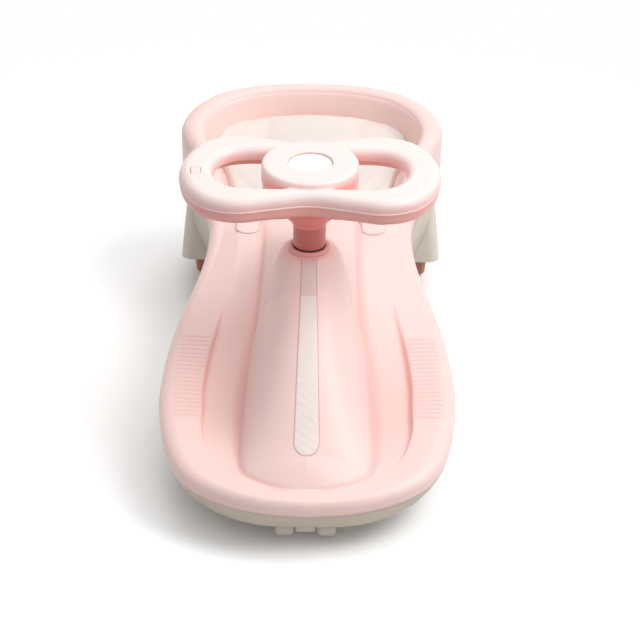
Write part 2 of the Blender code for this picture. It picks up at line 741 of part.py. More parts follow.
steering_arm = cylinder("steering_arm", boss_radius, beam_low + 0.0045, arm_top, grey, (0, column_y, 0))
arm_piece("arm_beam", (-fork_half, front_y - 0.0140, beam_low), (fork_half, column_y + 0.0120, beam_top))
for side in (1, -1):
    inner, outer = side * (fork_half - leg_width), side * (fork_half - 0.0008)
    arm_piece("fork_leg", (min(inner, outer), front_y - 0.0125, front_wheel_radius - 0.0100),
              (max(inner, outer), front_y + 0.0125, beam_top - 0.0055))
arm_piece("arm_neck", (-0.0120, front_y - 0.0120, roller_z + 0.0050), (0.0120, front_y + 0.0110, beam_top - 0.0040))
arm_piece("arm_tongue", (-0.0150, roller_y + 0.0120, roller_z - 0.0015), (0.0150, front_y + 0.0060, roller_z + 0.0115))
arm_piece("roller_yoke", (-0.0125, roller_y - 0.0070, roller_z - 0.0065), (0.0125, roller_y + 0.0200, roller_z + 0.0090))
combine(steering_arm, cylinder("front_axle_bore", bore, -front_track, front_track,
                               at=(0, front_y, front_wheel_radius), axis="X", sides=32, home=tools))
combine(steering_arm, cylinder("roller_bore", roller_pin_radius + gap, -roller_spacing, roller_spacing,
                               at=(0, roller_y, roller_z), axis="X", sides=24, home=tools))
combine(steering_arm, cylinder("core_socket", core_radius + gap, arm_top - socket_depth, arm_top + socket_depth,
                               at=(0, column_y, 0), sides=32, home=tools))
place_origin(steering_arm, (0, column_y, arm_top))

pin_reach = (roller_spacing + roller_width) / 2 + 0.0010
pin = cylinder("roller_pin", roller_pin_radius, -pin_reach, pin_reach, steel, (0, roller_y, roller_z), "X", 24)
place_origin(pin, (0, roller_y, roller_z))
for side, word in ((1, "left"), (-1, "right")):
    centre = (side * roller_spacing / 2, roller_y, roller_z)
    tyre("anti_tip_roller_" + word, roller_radius, roller_width, roller_pin_radius + gap, centre, cream, 20)

# Column housing under the hump, bushes, steel core and outer column tube
inner_housing = core_radius + bush_wall + 2 * gap
housing_top = hump_top - wall - 0.0006
housing = turned("column_housing", [
    (inner_housing, housing_top), (housing_flange, housing_top), (housing_flange, housing_top - 0.004),
    (housing_radius - 0.004, housing_top - 0.010), (housing_radius - 0.004, housing_bottom + 0.012),
    (housing_radius, housing_bottom + 0.006), (housing_radius, housing_bottom), (inner_housing, housing_bottom)],
    cream, (0, column_y, 0))
bush_outer = inner_housing - gap
bush_inner = core_radius + gap
for name, low in (("lower_bush", housing_bottom), ("upper_bush", housing_top - bush_height)):
    turned(name, [(bush_inner, low), (bush_outer, low), (bush_outer, low + bush_height), (bush_inner, low + bush_height)],
           grey, (0, column_y, 0), sides=24)
core_reach = 0.0120
place_origin(cylinder("column_core", core_radius, arm_top - socket_depth + 0.0010, rim_bottom + core_reach, steel,
                      (0, column_y, 0), sides=32), (0, column_y, hump_top))

collar_low = hump_top + gap
collar_top = collar_low + collar_height
turned("column_collar", [
    (column_radius + 0.0004, collar_top - 0.0012), (column_radius + 0.0012, collar_top), (collar_radius, collar_top),
    (collar_radius + 0.001, collar_top - 0.002), (collar_radius + 0.001, collar_low), (core_radius + 0.0012, collar_low),
    (core_radius + 0.0012, collar_low + 0.0022), (column_radius + 0.0004, collar_low + 0.0022)],
    pink, (0, column_y, 0), sides=32)
seal_low = collar_low + 0.0022 + gap
seal_top = collar_top + 0.0010
turned("column_seal", [(core_radius + 0.0012, seal_top), (column_radius, seal_top), (column_radius, seal_low),
                       (core_radius + 0.0012, seal_low)], black, (0, column_y, 0))
tube_low = seal_top + gap
tube_top = rim_bottom - gap
flare = 0.0045
steering_column = turned("steering_column", [
    (core_radius + gap, tube_top), (column_radius + 0.0085, tube_top), (column_radius + 0.0080, tube_top - 0.004),
    (column_radius + 0.0035, tube_top - 0.0105), (column_radius, tube_top - 0.0125), (column_radius, tube_low),
    (column_radius - 0.003, tube_low), (column_radius - 0.003, tube_low + 0.020), (core_radius + gap, tube_low + 0.020)],
    pink, (0, column_y, 0), sides=32)
place_origin(steering_column, (0, column_y, tube_low))


# Steering wheel covers, badge, button and sound unit
def rim_outline(extra=0.0):
    """Butterfly outline: a smooth closed curve through the pinch, the lobe and the grip end of each quarter."""
    w, lobe, pinch = rim_half_width + extra, rim_lobe_depth + extra, rim_pinch_depth + extra
    quarter = [(0.0, pinch), (w * .27, (pinch + lobe) / 2), (w * .52, lobe), (w * .78, lobe * .94),
               (w * .94, lobe * .66), (w, lobe * .25)]
    loop = quarter + [(x, -y) for x, y in quarter[::-1]]
    loop += [(-x, y) for x, y in (quarter + [(x, -y) for x, y in quarter[::-1]])[::-1]][1:-1]
    closed = np.array(loop + loop[:1])
    return [tuple(p) for p in periodic(closed, 48)]


def periodic(points, count):
    body = points[:-1]
    where = np.linspace(0, len(body), count, endpoint=False)
    cell = where.astype(int)
    f = (where - cell)[:, None]
    a, b, c, d = (body[(cell + k) % len(body)] for k in (-1, 0, 1, 2))
    return 0.5 * (2 * b + (c - a) * f + (2 * a - 5 * b + 4 * c - d) * f ** 2 + (3 * b - a - 3 * c + d) * f ** 3)


def opening_outline(side, extra=0.0):
    """Hand opening: rounded superellipse at the grip, closed by the hub drum, which stands in its inner end."""
    middle = 0.6 * opening_outer
    reach, deep, inner = opening_outer - middle + extra, opening_depth + extra, opening_inner - extra
    ring = [(middle + reach * math.cos(a) ** 0.75, deep * math.copysign(abs(math.sin(a)) ** 0.75, a))
            for a in np.linspace(-math.pi / 2, math.pi / 2, 15)]
    lead = inner * math.cos(opening_corner) + 0.0060
    arc = [(inner * math.cos(a), inner * math.sin(a)) for a in np.linspace(opening_corner, -opening_corner, 11)]
    ring += [(lead, deep - 0.0005)] + arc + [(lead, 0.0005 - deep)]
    return [(side * x, y) for x, y in ring]


def at_column(points):
    return [(x, y + column_y) for x, y in points]


cover_wall = 0.0026
trim_reach = 1.3 * rim_half_width
holes = [at_column(opening_outline(1)), at_column(opening_outline(-1))]
upper_cover = plate("wheel_upper_cover", [at_column(rim_outline())] + holes, rim_parting - 0.5 * cover_height,
                    rim_top, pink, 0.45 * cover_height)
trim = box("trim", (-trim_reach, column_y - trim_reach, rim_parting - 1.2 * cover_height),
           (trim_reach, column_y + trim_reach, rim_parting), None, 0, tools)
combine(upper_cover, trim)
hub_top = car_height
badge_floor = hub_top - 0.0018
hub_dome = turned("hub_dome", [(0.0, rim_parting + gap), (0.0, badge_floor), (badge_radius + gap, badge_floor),
                               (badge_radius + gap, hub_top), (hub_radius - 0.006, hub_top),
                               (hub_radius - 0.002, hub_top - 0.0015), (hub_radius, hub_top - 0.005),
                               (hub_radius + 0.002, rim_parting + gap)], pink, (0, column_y, 0), sides=48, home=tools)
combine(upper_cover, hub_dome, "UNION")
wide_holes = [at_column(opening_outline(1, cover_wall)), at_column(opening_outline(-1, cover_wall))]
hollow = plate("cover_hollow", [at_column(rim_outline(-cover_wall))] + wide_holes,
               rim_parting - 0.6 * cover_height, rim_top - cover_wall, None, 0.36 * cover_height, home=tools)
combine(upper_cover, hollow)
badge = turned("badge_cap", [(0.0, hub_top - 0.0006), (badge_radius - 0.0008, hub_top - 0.0006),
                             (badge_radius, hub_top - 0.0010), (badge_radius, badge_floor + gap),
                             (0.0, badge_floor + gap)], white, (0, column_y, 0), sides=40)

pan_inset = 0.0015
lower_cover = plate("wheel_lower_cover", [at_column(rim_outline(-pan_inset))] + holes, rim_bottom,
                    rim_parting + 0.38 * pan_height, pink, 0.34 * pan_height)
combine(lower_cover, box("lower_trim", (-trim_reach, column_y - trim_reach, rim_parting - gap),
                         (trim_reach, column_y + trim_reach, rim_parting + pan_height), None, 0, tools))
lower_hollow = plate("lower_hollow", [at_column(rim_outline(-pan_inset - cover_wall))] + wide_holes,
                     rim_bottom + cover_wall, rim_parting + 1.25 * pan_height, None, 0.25 * pan_height, home=tools)
combine(lower_cover, lower_hollow)
drum_outer, drum_inner = hub_radius - 0.0010, hub_radius - 0.0065
drum_low, drum_high = rim_bottom + 0.0006, rim_parting - gap - 0.0005
pan_drum = turned("pan_drum", [(drum_outer, drum_low), (drum_outer, drum_high), (drum_inner, drum_high),
                               (drum_inner, drum_low)], pink, (0, column_y, 0), sides=36, home=tools)
combine(lower_cover, pan_drum, "UNION")
combine(lower_cover, cylinder("hub_post", 0.0220, rim_bottom, rim_parting - 0.0040, at=(0, column_y, 0), home=tools),
        "UNION")
combine(lower_cover, cylinder("core_hole", core_radius + gap, rim_bottom - core_reach, rim_bottom + core_reach + gap,
                              at=(0, column_y, 0), sides=32, home=tools))

# Push button on the grip at the rider's right hand, over a switch on a small sound unit
button_x, button_y = grip_width / 2 - rim_half_width, column_y - 0.0120
button_top = rim_top + 0.0006
button_depth = 0.0050


def button_outline(extra):
    reach_x, reach_y = button_width / 2 + extra, button_length / 2 + extra
    return [(button_x + reach_x * math.copysign(abs(math.cos(a)) ** 0.5, math.cos(a)),
             button_y + reach_y * math.copysign(abs(math.sin(a)) ** 0.5, math.sin(a)))
            for a in np.linspace(0, 2 * math.pi, 16, endpoint=False)]


combine(upper_cover, plate("button_hole", [button_outline(gap)], rim_parting - gap, rim_top + button_depth, None,
                           home=tools))
button = plate("music_button", [button_outline(0.0)], rim_top - button_depth, button_top, pink, 0.0004)
place_origin(button, (button_x, button_y, rim_top - button_depth))
unit_floor = rim_bottom + cover_wall + gap
unit_top = rim_parting + 0.0040
box("button_switch", (button_x - 0.0040, button_y - 0.0040, unit_floor),
    (button_x + 0.0040, button_y + 0.0040, rim_top - button_depth - button_travel - gap), grey, 0.0005)
unit_outer, unit_inner = hub_radius - 0.0155, core_radius + 0.0160
box("sound_unit", (-unit_outer, column_y - 0.0230, unit_floor), (-unit_inner, column_y + 0.0230, unit_top), grey, 0.0010)
box("battery_pack", (unit_inner, column_y - 0.0240, unit_floor), (unit_outer, column_y + 0.0240, unit_top), grey, 0.0020)
for piece in (upper_cover, lower_cover, badge):
    place_origin(piece, (0, column_y, rim_parting))
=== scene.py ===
import bpy
import bmesh
import math
import numpy as np
from mathutils import Matrix, Vector


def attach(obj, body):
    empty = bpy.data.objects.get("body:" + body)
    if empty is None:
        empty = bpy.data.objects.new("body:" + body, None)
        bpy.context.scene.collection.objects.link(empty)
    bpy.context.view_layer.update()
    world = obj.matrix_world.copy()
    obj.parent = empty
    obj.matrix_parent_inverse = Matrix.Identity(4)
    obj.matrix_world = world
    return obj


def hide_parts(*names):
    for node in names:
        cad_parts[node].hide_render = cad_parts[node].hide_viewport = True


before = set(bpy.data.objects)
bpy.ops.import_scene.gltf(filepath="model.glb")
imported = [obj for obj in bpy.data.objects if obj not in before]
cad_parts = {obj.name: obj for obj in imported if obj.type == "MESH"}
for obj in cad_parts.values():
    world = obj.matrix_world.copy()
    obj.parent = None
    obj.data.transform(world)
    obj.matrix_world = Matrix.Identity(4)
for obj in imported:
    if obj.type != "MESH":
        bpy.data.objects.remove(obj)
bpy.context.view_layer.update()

# Sizes shared with the solids, in metres
car_length = 0.770
front_width = 0.356
car_height = 0.378
wall = 0.0028
skirt_wall = 0.0026
gap = 0.0003
column_y = -0.115
column_radius = 0.0195
core_bore = 0.0073
hump_top = 0.2620
plateau_radius = 0.0270
plateau_blend = 0.0300
steering_opening = 0.1400
strip_front_y = -0.3330
strip_rear_y = -0.1420
strip_rear_half = 0.0090
strip_front_half = 0.0155
rear_axle_y = 0.300
rear_wheel_x = 0.146
rear_wheel_radius = 0.048
front_axle_y = column_y - 0.060
front_wheel_x = 0.055
front_wheel_radius = 0.042
wheel_width = 0.023
axle_bore = 0.0043
roller_y = column_y - 0.2370
roller_z = 0.0255
roller_x = 0.0245
roller_radius = 0.0125
roller_width = 0.022
roller_bore = 0.0028
rim_half_width = 0.153
rim_top = 0.3710
rim_parting = 0.3545
rim_bottom = 0.3385
hub_top = 0.3780
hub_radius = 0.0575
column_at = (0, column_y, 0)

# Sizes read from the photograph, in metres
groove_count = 20
groove_pitch = 0.0075
groove_depth = 0.0009
grip_front_y = -0.2380
strip_joint_y = -0.1740
ripple_slant = 0.55
ripple_pitch = 0.0085
seat_level = 0.1870

# Camera, placed so that the ridge and the steering column fall where the photograph has them
picture_width = 640
focal_pixels = 2500
sensor_width = 36.0
camera_place = (0.0138, -2.7346, 1.7097)
camera_down = 30.57
camera_roll = 0.0125


def put(name, data):
    """New object of the data, in the scene."""
    thing = bpy.data.objects.new(name, data)
    bpy.context.scene.collection.objects.link(thing)
    return thing


def camera():
    """Camera with the photograph's focal length, looking down by camera_down degrees."""
    data = bpy.data.cameras.new("camera")
    data.sensor_width = sensor_width
    data.lens = sensor_width * focal_pixels / picture_width
    eye = put("camera", data)
    turn = Matrix.Rotation(math.radians(90 - camera_down), 4, "X") @ Matrix.Rotation(camera_roll, 4, "Z")
    eye.matrix_world = Matrix.Translation(camera_place) @ turn
    bpy.context.scene.camera = eye


camera()


# Node helpers
def srgb(red, green, blue):
    """Linear colour of a screen colour given in levels from 0 to 255."""
    parts = [v / 255 for v in (red, green, blue)]
    return tuple(v / 12.92 if v <= 0.04045 else ((v + 0.055) / 1.055) ** 2.4 for v in parts) + (1.0,)


def add(tree, kind, sockets=None, **values):
    """New node: first its properties, then each input, from a number, a colour or another node's output."""
    node = tree.nodes.new(kind)
    for key, value in values.items():
        setattr(node, key, value)
    for key, value in (sockets or {}).items():
        if isinstance(value, bpy.types.NodeSocket):
            tree.links.new(value, node.inputs[key])
        else:
            node.inputs[key].default_value = value
    return node


def maths(tree, operation, *values):
    """Result of a Math node on numbers or outputs."""
    return add(tree, "ShaderNodeMath", dict(enumerate(values)), operation=operation).outputs[0]


def colour_mix(tree, share, plain, deep):
    """Colour between plain and deep by the share."""
    mix = add(tree, "ShaderNodeMix", {"Factor": share, "A": plain, "B": deep}, data_type="RGBA")
    return mix.outputs["Result"]


def new_group(name, inputs, outputs):
    """Shader node group with its named inputs and outputs, and what its inputs give inside it."""
    group = bpy.data.node_groups.new(name, "ShaderNodeTree")
    for label, kind, default in inputs:
        group.interface.new_socket(label, in_out="INPUT", socket_type=kind).default_value = default
    for label, kind in outputs:
        group.interface.new_socket(label, in_out="OUTPUT", socket_type=kind)
    return group, add(group, "NodeGroupInput").outputs


def grain_group():
    """Moulded surface: broad colour drift, fine grain in the normal and a matching drift in roughness."""
    group, given = new_group(
        "moulded_grain",
        (("Base", "NodeSocketColor", (0.8, 0.8, 0.8, 1)), ("Drift", "NodeSocketFloat", 0.04),
         ("Scale", "NodeSocketFloat", 700.0), ("Depth", "NodeSocketFloat", 0.05),
         ("Gloss", "NodeSocketFloat", 0.4), ("Spread", "NodeSocketFloat", 0.06)),
        (("Colour", "NodeSocketColor"), ("Roughness", "NodeSocketFloat"), ("Normal", "NodeSocketVector")))
    where = add(group, "ShaderNodeTexCoord").outputs["Object"]
    broad = add(group, "ShaderNodeTexNoise", {"Vector": where, "Scale": 9.0, "Detail": 4.0})
    fine = add(group, "ShaderNodeTexNoise", {"Vector": where, "Scale": given["Scale"], "Detail": 3.0})
    shade = maths(group, "SUBTRACT", broad.outputs["Fac"], 0.5)
    level = maths(group, "ADD", maths(group, "MULTIPLY", shade, given["Drift"]), 1.0)
    tint = add(group, "ShaderNodeHueSaturation", {"Value": level, "Color": given["Base"]})
    rough = maths(group, "MULTIPLY_ADD", shade, given["Spread"], given["Gloss"])
    bump = add(group, "ShaderNodeBump", {"Distance": 0.0004, "Height": fine.outputs["Fac"],
                                         "Strength": given["Depth"]})
    add(group, "NodeGroupOutput", {"Colour": tint.outputs["Color"], "Roughness": rough,
                                   "Normal": bump.outputs["Normal"]})
    return group


def crease_group():
    """Plain colour that turns to the deep one where the attribute tint marks it: painted shade in a crease,
    on a wall or in a groove, and a pinker colour towards the seat pad's tongues.
    """
    group, given = new_group(
        "crease_tint",
        (("Plain", "NodeSocketColor", (0.8, 0.8, 0.8, 1)), ("Deep", "NodeSocketColor", (0, 0, 0, 1))),
        (("Colour", "NodeSocketColor"),))
    mark = add(group, "ShaderNodeAttribute", attribute_name="tint").outputs["Fac"]
    add(group, "NodeGroupOutput", {"Colour": colour_mix(group, mark, given["Plain"], given["Deep"])})
    return group


grain = grain_group()
crease_tint = crease_group()


def moulded(name, colour, gloss, scale, depth, drift, spread, metallic=0.0):
    """Plastic, rubber or metal with the moulded grain."""
    made = bpy.data.materials.new(name)
    made.use_nodes = True
    made.diffuse_color = colour
    tree = made.node_tree
    shader = tree.nodes["Principled BSDF"]
    shader.inputs["Metallic"].default_value = metallic
    node = add(tree, "ShaderNodeGroup", {"Base": colour, "Drift": drift, "Scale": scale, "Depth": depth,
                                         "Gloss": gloss, "Spread": spread}, node_tree=grain, name="grain")
    for output, socket in (("Colour", "Base Color"), ("Roughness", "Roughness"), ("Normal", "Normal")):
        tree.links.new(node.outputs[output], shader.inputs[socket])
    return made


def tinted(name, plain, deep, gloss):
    """Moulded plastic or cover that turns to the deep colour where marked: painted shade in creases and on
    walls, and on the seat pad a pinker colour towards the tongues.
    """
    made = moulded(name, plain, gloss, 900.0, 0.04, 0.03, 0.05)
    tree = made.node_tree
    node = add(tree, "ShaderNodeGroup", {"Plain": plain, "Deep": deep}, node_tree=crease_tint)
    tree.links.new(node.outputs["Colour"], tree.nodes["grain"].inputs["Base"])
    return made


def lens_material():
    """Milky ribbed light strip: slanting ripples that grow towards the nose, duller at the column end."""
    made = moulded("milky_lens", srgb(244, 230, 224), 0.34, 500.0, 0.05, 0.04, 0.06)
    tree = made.node_tree
    shader, base = tree.nodes["Principled BSDF"], tree.nodes["grain"]
    where = add(tree, "ShaderNodeTexCoord").outputs["Object"]
    split = add(tree, "ShaderNodeSeparateXYZ", {0: where}).outputs
    slant = maths(tree, "MULTIPLY_ADD", split["X"], ripple_slant, split["Y"])
    wobble = add(tree, "ShaderNodeTexNoise", {"Vector": where, "Scale": 60.0}).outputs["Fac"]
    bend = maths(tree, "MULTIPLY_ADD", wobble, 0.010, slant)
    ripple = maths(tree, "SINE", maths(tree, "MULTIPLY", bend, 2 * math.pi / ripple_pitch))
    grow = add(tree, "ShaderNodeMapRange", {"Value": split["Y"], "From Min": -0.21, "From Max": -0.30,
                                            "To Min": 0.05, "To Max": 1.0})
    height = maths(tree, "MULTIPLY", ripple, grow.outputs[0])
    bump = add(tree, "ShaderNodeBump", {"Strength": 0.06, "Distance": 0.0010, "Height": height,
                                        "Normal": base.outputs["Normal"]})
    tree.links.new(bump.outputs["Normal"], shader.inputs["Normal"])
    dull = add(tree, "ShaderNodeMapRange", {"Value": split["Y"], "From Min": strip_joint_y + .0005,
                                            "From Max": strip_joint_y - .0005, "To Min": 0.45, "To Max": 0.0})
    shown = colour_mix(tree, dull.outputs[0], base.outputs["Colour"], srgb(222, 172, 164))
    tree.links.new(shown, shader.inputs["Base Color"])
    return made


# Looks: colour and roughness, then the scale, depth, colour drift and roughness spread of the grain
wheel_pink = moulded("wheel_pink_plastic", srgb(251, 226, 221), 0.36, 800.0, 0.05, 0.03, 0.05)
bead_pink = moulded("bead_pink_plastic", srgb(251, 218, 212), 0.30, 800.0, 0.03, 0.02, 0.04)
line_pink = moulded("line_pink_plastic", srgb(218, 176, 168), 0.50, 800.0, 0.05, 0.03, 0.05)
# Collar pink, darker than the body pink as painted shade under the steering wheel
shaded_collar_pink = moulded("collar_shaded_pink_plastic", srgb(236, 176, 169), 0.40, 800.0, 0.05, 0.03, 0.05)
# Lower wheel cover pink, darker than the wheel pink as painted shade under the rim
shaded_pan_pink = moulded("pan_shaded_pink_plastic", srgb(241, 172, 165), 0.38, 800.0, 0.05, 0.03, 0.05)
cream = moulded("cream_plastic", srgb(232, 223, 211), 0.45, 800.0, 0.05, 0.03, 0.06)
# Skirt cream, darker than the cream as painted shade under the nose and the body
shaded_skirt_cream = moulded("skirt_shaded_plastic", srgb(218, 205, 187), 0.45, 800.0, 0.05, 0.03, 0.06)
roller_cream = moulded("roller_plastic", srgb(218, 208, 194), 0.55, 600.0, 0.08, 0.05, 0.08)
line_beige = moulded("line_beige_plastic", srgb(214, 190, 178), 0.50, 800.0, 0.05, 0.03, 0.05)
tyre_pink = moulded("tyre_polyurethane", srgb(200, 140, 118), 0.60, 500.0, 0.15, 0.08, 0.10)
badge_white = moulded("badge_white", srgb(246, 245, 242), 0.28, 900.0, 0.02, 0.01, 0.03)
seal_black = moulded("seal_rubber", srgb(38, 36, 36), 0.65, 900.0, 0.20, 0.10, 0.10)
steel = moulded("drawn_steel", srgb(196, 197, 199), 0.30, 1500.0, 0.08, 0.04, 0.12, metallic=1.0)
dark_grey = moulded("inner_grey_plastic", srgb(96, 96, 98), 0.55, 700.0, 0.10, 0.06, 0.08)
lens_milky = lens_material()

# Looks of two colours, with the plain one first; the deep one is painted shade, but on the seat pad a pinker
# colour towards the tongues
# Body pink, whose deep colour is painted shade in the skin's valleys, grooves and step
body_pink = tinted("body_pink_plastic", srgb(250, 217, 211), srgb(236, 150, 140), 0.40)
# Steering wheel cover pink, whose deep colour is painted shade down the walls of the rim and the hub
cover_pink = tinted("cover_pink_plastic", srgb(253, 230, 226), srgb(250, 158, 151), 0.36)
# Column pink darkened as painted shade under the steering wheel, with deeper painted shade below the boss
shaded_column_pink = tinted("column_shaded_pink", srgb(240, 146, 136), srgb(196, 104, 98), 0.40)
pad_cream = tinted("pad_cover", srgb(232, 222, 215), srgb(249, 219, 212), 0.50)

for look, nodes in (
        (body_pink, "upper_body"),
        (wheel_pink, "music_button wheel_upper_cover wheel_lower_cover"),
        (shaded_column_pink, "steering_column"),
        (shaded_collar_pink, "column_collar"),
        (cream, "lower_body wheel_arch_left wheel_arch_right steering_arm column_housing "
                "axle_bracket_left axle_bracket_right rear_hub_left rear_hub_right front_hub_left "
                "front_hub_right rear_cap_left rear_cap_right front_cap_left front_cap_right"),
        (roller_cream, "anti_tip_roller_left anti_tip_roller_right"),
        (tyre_pink, "rear_tyre_left rear_tyre_right front_tyre_left front_tyre_right"),
        (steel, "rear_axle front_axle roller_pin column_core"),
        (dark_grey, "light_board lower_bush upper_bush button_switch sound_unit battery_pack"),
        (lens_milky, "light_lens"),
        (pad_cream, "seat_pad"),
        (badge_white, "badge_cap"),
        (seal_black, "column_seal")):
    for node in nodes.split():
        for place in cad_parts[node].material_slots:
            place.material = look


# Shape helpers
def smooth(value):
    """Smooth step: 3 v squared - 2 v cubed, with v held between 0 and 1."""
    value = np.clip(value, 0.0, 1.0)
    return value * value * (3 - 2 * value)


def between(a, b, c, d, f):
    """Catmull-Rom point at the share f of the way from b to c, with a before them and d after."""
    bend, twist = 2 * a - 5 * b + 4 * c - d, 3 * b - a - 3 * c + d
    return 0.5 * (2 * b + (c - a) * f + bend * f ** 2 + twist * f ** 3)


def catmull(values, marks):
    """Values read at the marks on a Catmull-Rom curve through the list."""
    values = np.asarray(values, float)
    padded = np.concatenate([[2 * values[0] - values[1]], values, [2 * values[-1] - values[-2]]])
    cell = np.minimum(marks.astype(int), len(values) - 2)
    return between(*(padded[cell + k] for k in range(4)), marks - cell)


def arc(radius, centre, start, end, count):
    """Points of a circular arc between two angles in degrees."""
    a = np.radians(np.linspace(start, end, count))
    return np.column_stack([centre[0] + radius * np.cos(a), centre[1] + radius * np.sin(a)])


def circle(count):
    """Cosines and sines of evenly spaced angles round a full turn."""
    a = np.linspace(0, 2 * math.pi, count, endpoint=False)
    return np.cos(a), np.sin(a)


def grid_faces(rows, columns):
    """Quads of a grid of points."""
    first = (np.arange(rows - 1)[:, None] * columns + np.arange(columns - 1)).ravel()
    return np.column_stack([first, first + 1, first + columns + 1, first + columns])


def ring_faces(rings, sides, closed=False):
    """Quads between rings of points; where closed, the last ring meets the first."""
    i = np.arange(rings if closed else rings - 1)[:, None] * sides
    j = np.arange(sides)
    k = (i + sides) % (rings * sides)
    return np.stack([i + j, i + (j + 1) % sides, k + (j + 1) % sides, k + j], 2).reshape(-1, 4)


def mesh_from(name, points, faces):
    """Mesh of an array of points and a list of faces."""
    mesh = bpy.data.meshes.new(name)
    mesh.from_pydata(points.tolist(), [], faces)
    return mesh


def welded(mesh, near=0.00002, slivers=False):
    """The mesh with its doubled points merged, its slivers dissolved if asked, and its faces outwards."""
    work = bmesh.new()
    work.from_mesh(mesh)
    bmesh.ops.remove_doubles(work, verts=work.verts, dist=near)
    if slivers:
        bmesh.ops.dissolve_degenerate(work, edges=work.edges, dist=near)
    bmesh.ops.recalc_face_normals(work, faces=work.faces)
    work.to_mesh(mesh)
    work.free()
    return mesh


def creased(piece, angle):
    """Smooth shading, with a sharp edge where faces turn by more than the angle in degrees."""
    piece.data.shade_smooth()
    piece.data.set_sharp_from_angle(angle=math.radians(angle))
    return piece


def piece_of(name, mesh, look, crease=None):
    """Smooth object of the mesh in one look, with sharp edges if a crease angle is given."""
    piece = put(name, mesh)
    mesh.materials.clear()
    mesh.materials.append(look)
    mesh.shade_smooth()
    return piece if crease is None else creased(piece, crease)


def piece_from(name, points, faces, look, crease=None, tint=None):
    """Welded object from arrays of points and faces, with the attribute tint if it is given."""
    mesh = mesh_from(name, points, faces.tolist())
    if tint is not None:
        mesh.attributes.new("tint", "FLOAT", "POINT").data.foreach_set("value", np.ravel(tint))
    return piece_of(name, welded(mesh), look, crease)


def points_of(piece):
    """The piece's points, a row of x, y, z each."""
    spots = np.empty(3 * len(piece.data.vertices))
    piece.data.vertices.foreach_get("co", spots)
    return spots.reshape(-1, 3)


def mark_painted_shade(piece, amount):
    """Writes how much painted shade, as the deep colour, lies at each point of the piece."""
    piece.data.attributes.new("tint", "FLOAT", "POINT").data.foreach_set("value", amount)


def settled(piece):
    """The piece with its modifiers applied."""
    bpy.context.view_layer.update()
    graph = bpy.context.evaluated_depsgraph_get()
    mesh = bpy.data.meshes.new_from_object(piece.evaluated_get(graph))
    piece.modifiers.clear()
    piece.data = mesh
    return piece


def finish_piece(piece, body, slot, *nodes):
    """The piece put on its body, with the nodes that it stands for hidden. The slot is not used."""
    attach(piece, body)
    if nodes:
        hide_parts(*nodes)
    return piece


def mirrored_sheet(name, grid, look, tint=None):
    """Half grid of points and its mirror about X = 0, welded into one open sheet."""
    flat = grid.reshape(-1, 3)
    faces = grid_faces(*grid.shape[:2])
    marks = None if tint is None else np.concatenate([tint.ravel(), tint.ravel()])
    return piece_from(name, np.concatenate([flat, flat * (-1, 1, 1)]),
                      np.concatenate([faces, faces[:, ::-1] + len(flat)]), look, tint=marks)


def walled(piece, thickness, lowest=False):
    """The open sheet given a wall on its inner side; its highest or lowest face tells which way is out."""
    faces = piece.data.polygons
    if lowest:
        inside_out = min(faces, key=lambda face: face.center.z).normal.z > 0
    else:
        inside_out = max(faces, key=lambda face: face.center.z).normal.z < 0
    if inside_out:
        piece.data.flip_normals()
    shell = piece.modifiers.new("wall", "SOLIDIFY")
    shell.thickness = thickness
    shell.offset = -1.0
    return settled(piece)


def lathe(name, profile, look, at=column_at, axis="Z", sides=128):
    """Profile of (radius, height) pairs swept in a circle: x = r cos a, y = r sin a, z = height.

    Along the X axis, the height runs along x, and the circle lies in y and z.
    """
    profile = np.asarray(profile, float)
    c, s = circle(sides)
    ring = np.stack([profile[:, :1] * c, profile[:, :1] * s, np.repeat(profile[:, 1:], sides, 1)], 2)
    if axis == "X":
        ring = ring[..., [2, 0, 1]]
    mesh = mesh_from(name, ring.reshape(-1, 3) + np.array(at), ring_faces(len(profile), sides).tolist())
    return piece_of(name, welded(mesh, 0.00001, True), look, 32)


def both_sides(side):
    """Closed wheel profile: its half, the mirror of that about the middle plane, and the first point."""
    return np.concatenate([side, side[::-1] * (1, -1), side[:1]])


def plate(name, outlines, low, high, round_by, look, steps=6):
    """Flat outlines with holes, filled, given a thickness and rounded edges."""
    curve = bpy.data.curves.new(name, "CURVE")
    curve.dimensions = "2D"
    curve.fill_mode = "BOTH"
    curve.extrude = (high - low) / 2 - round_by
    curve.bevel_depth = round_by
    curve.bevel_resolution = steps
    curve.offset = -round_by
    for points in outlines:
        spline = curve.splines.new("POLY")
        spline.points.add(len(points) - 1)
        count = len(points)
        spline.points.foreach_set("co", np.column_stack([points, np.zeros(count), np.ones(count)]).ravel())
        spline.use_cyclic_u = True
    drawn = put(name + "_outline", curve)
    bpy.context.view_layer.update()
    graph = bpy.context.evaluated_depsgraph_get()
    mesh = bpy.data.meshes.new_from_object(drawn.evaluated_get(graph))
    bpy.data.objects.remove(drawn, do_unlink=True)
    mesh.transform(Matrix.Translation((0, 0, (high + low) / 2)))
    return piece_of(name, welded(mesh), look)


def bead(name, line, z, radius, look, sides=10):
    """Round bead along a closed line of plan points and height z.

    A point lies off the line by radius cos b across it and radius sin b up, with b round the circle.
    """
    count = len(line)
    ahead = np.roll(line, -1, 0) - np.roll(line, 1, 0)
    across = np.column_stack([ahead[:, 1], -ahead[:, 0]]) / np.linalg.norm(ahead, axis=1)[:, None]
    c, s = circle(sides)
    plan = line[:, None] + across[:, None] * (radius * c)[None, :, None]
    level = np.broadcast_to(np.reshape(z, (-1, 1)) + radius * s, (count, sides))
    points = np.concatenate([plan, level[..., None]], 2).reshape(-1, 3)
    return piece_from(name, points, ring_faces(count, sides, True), look)


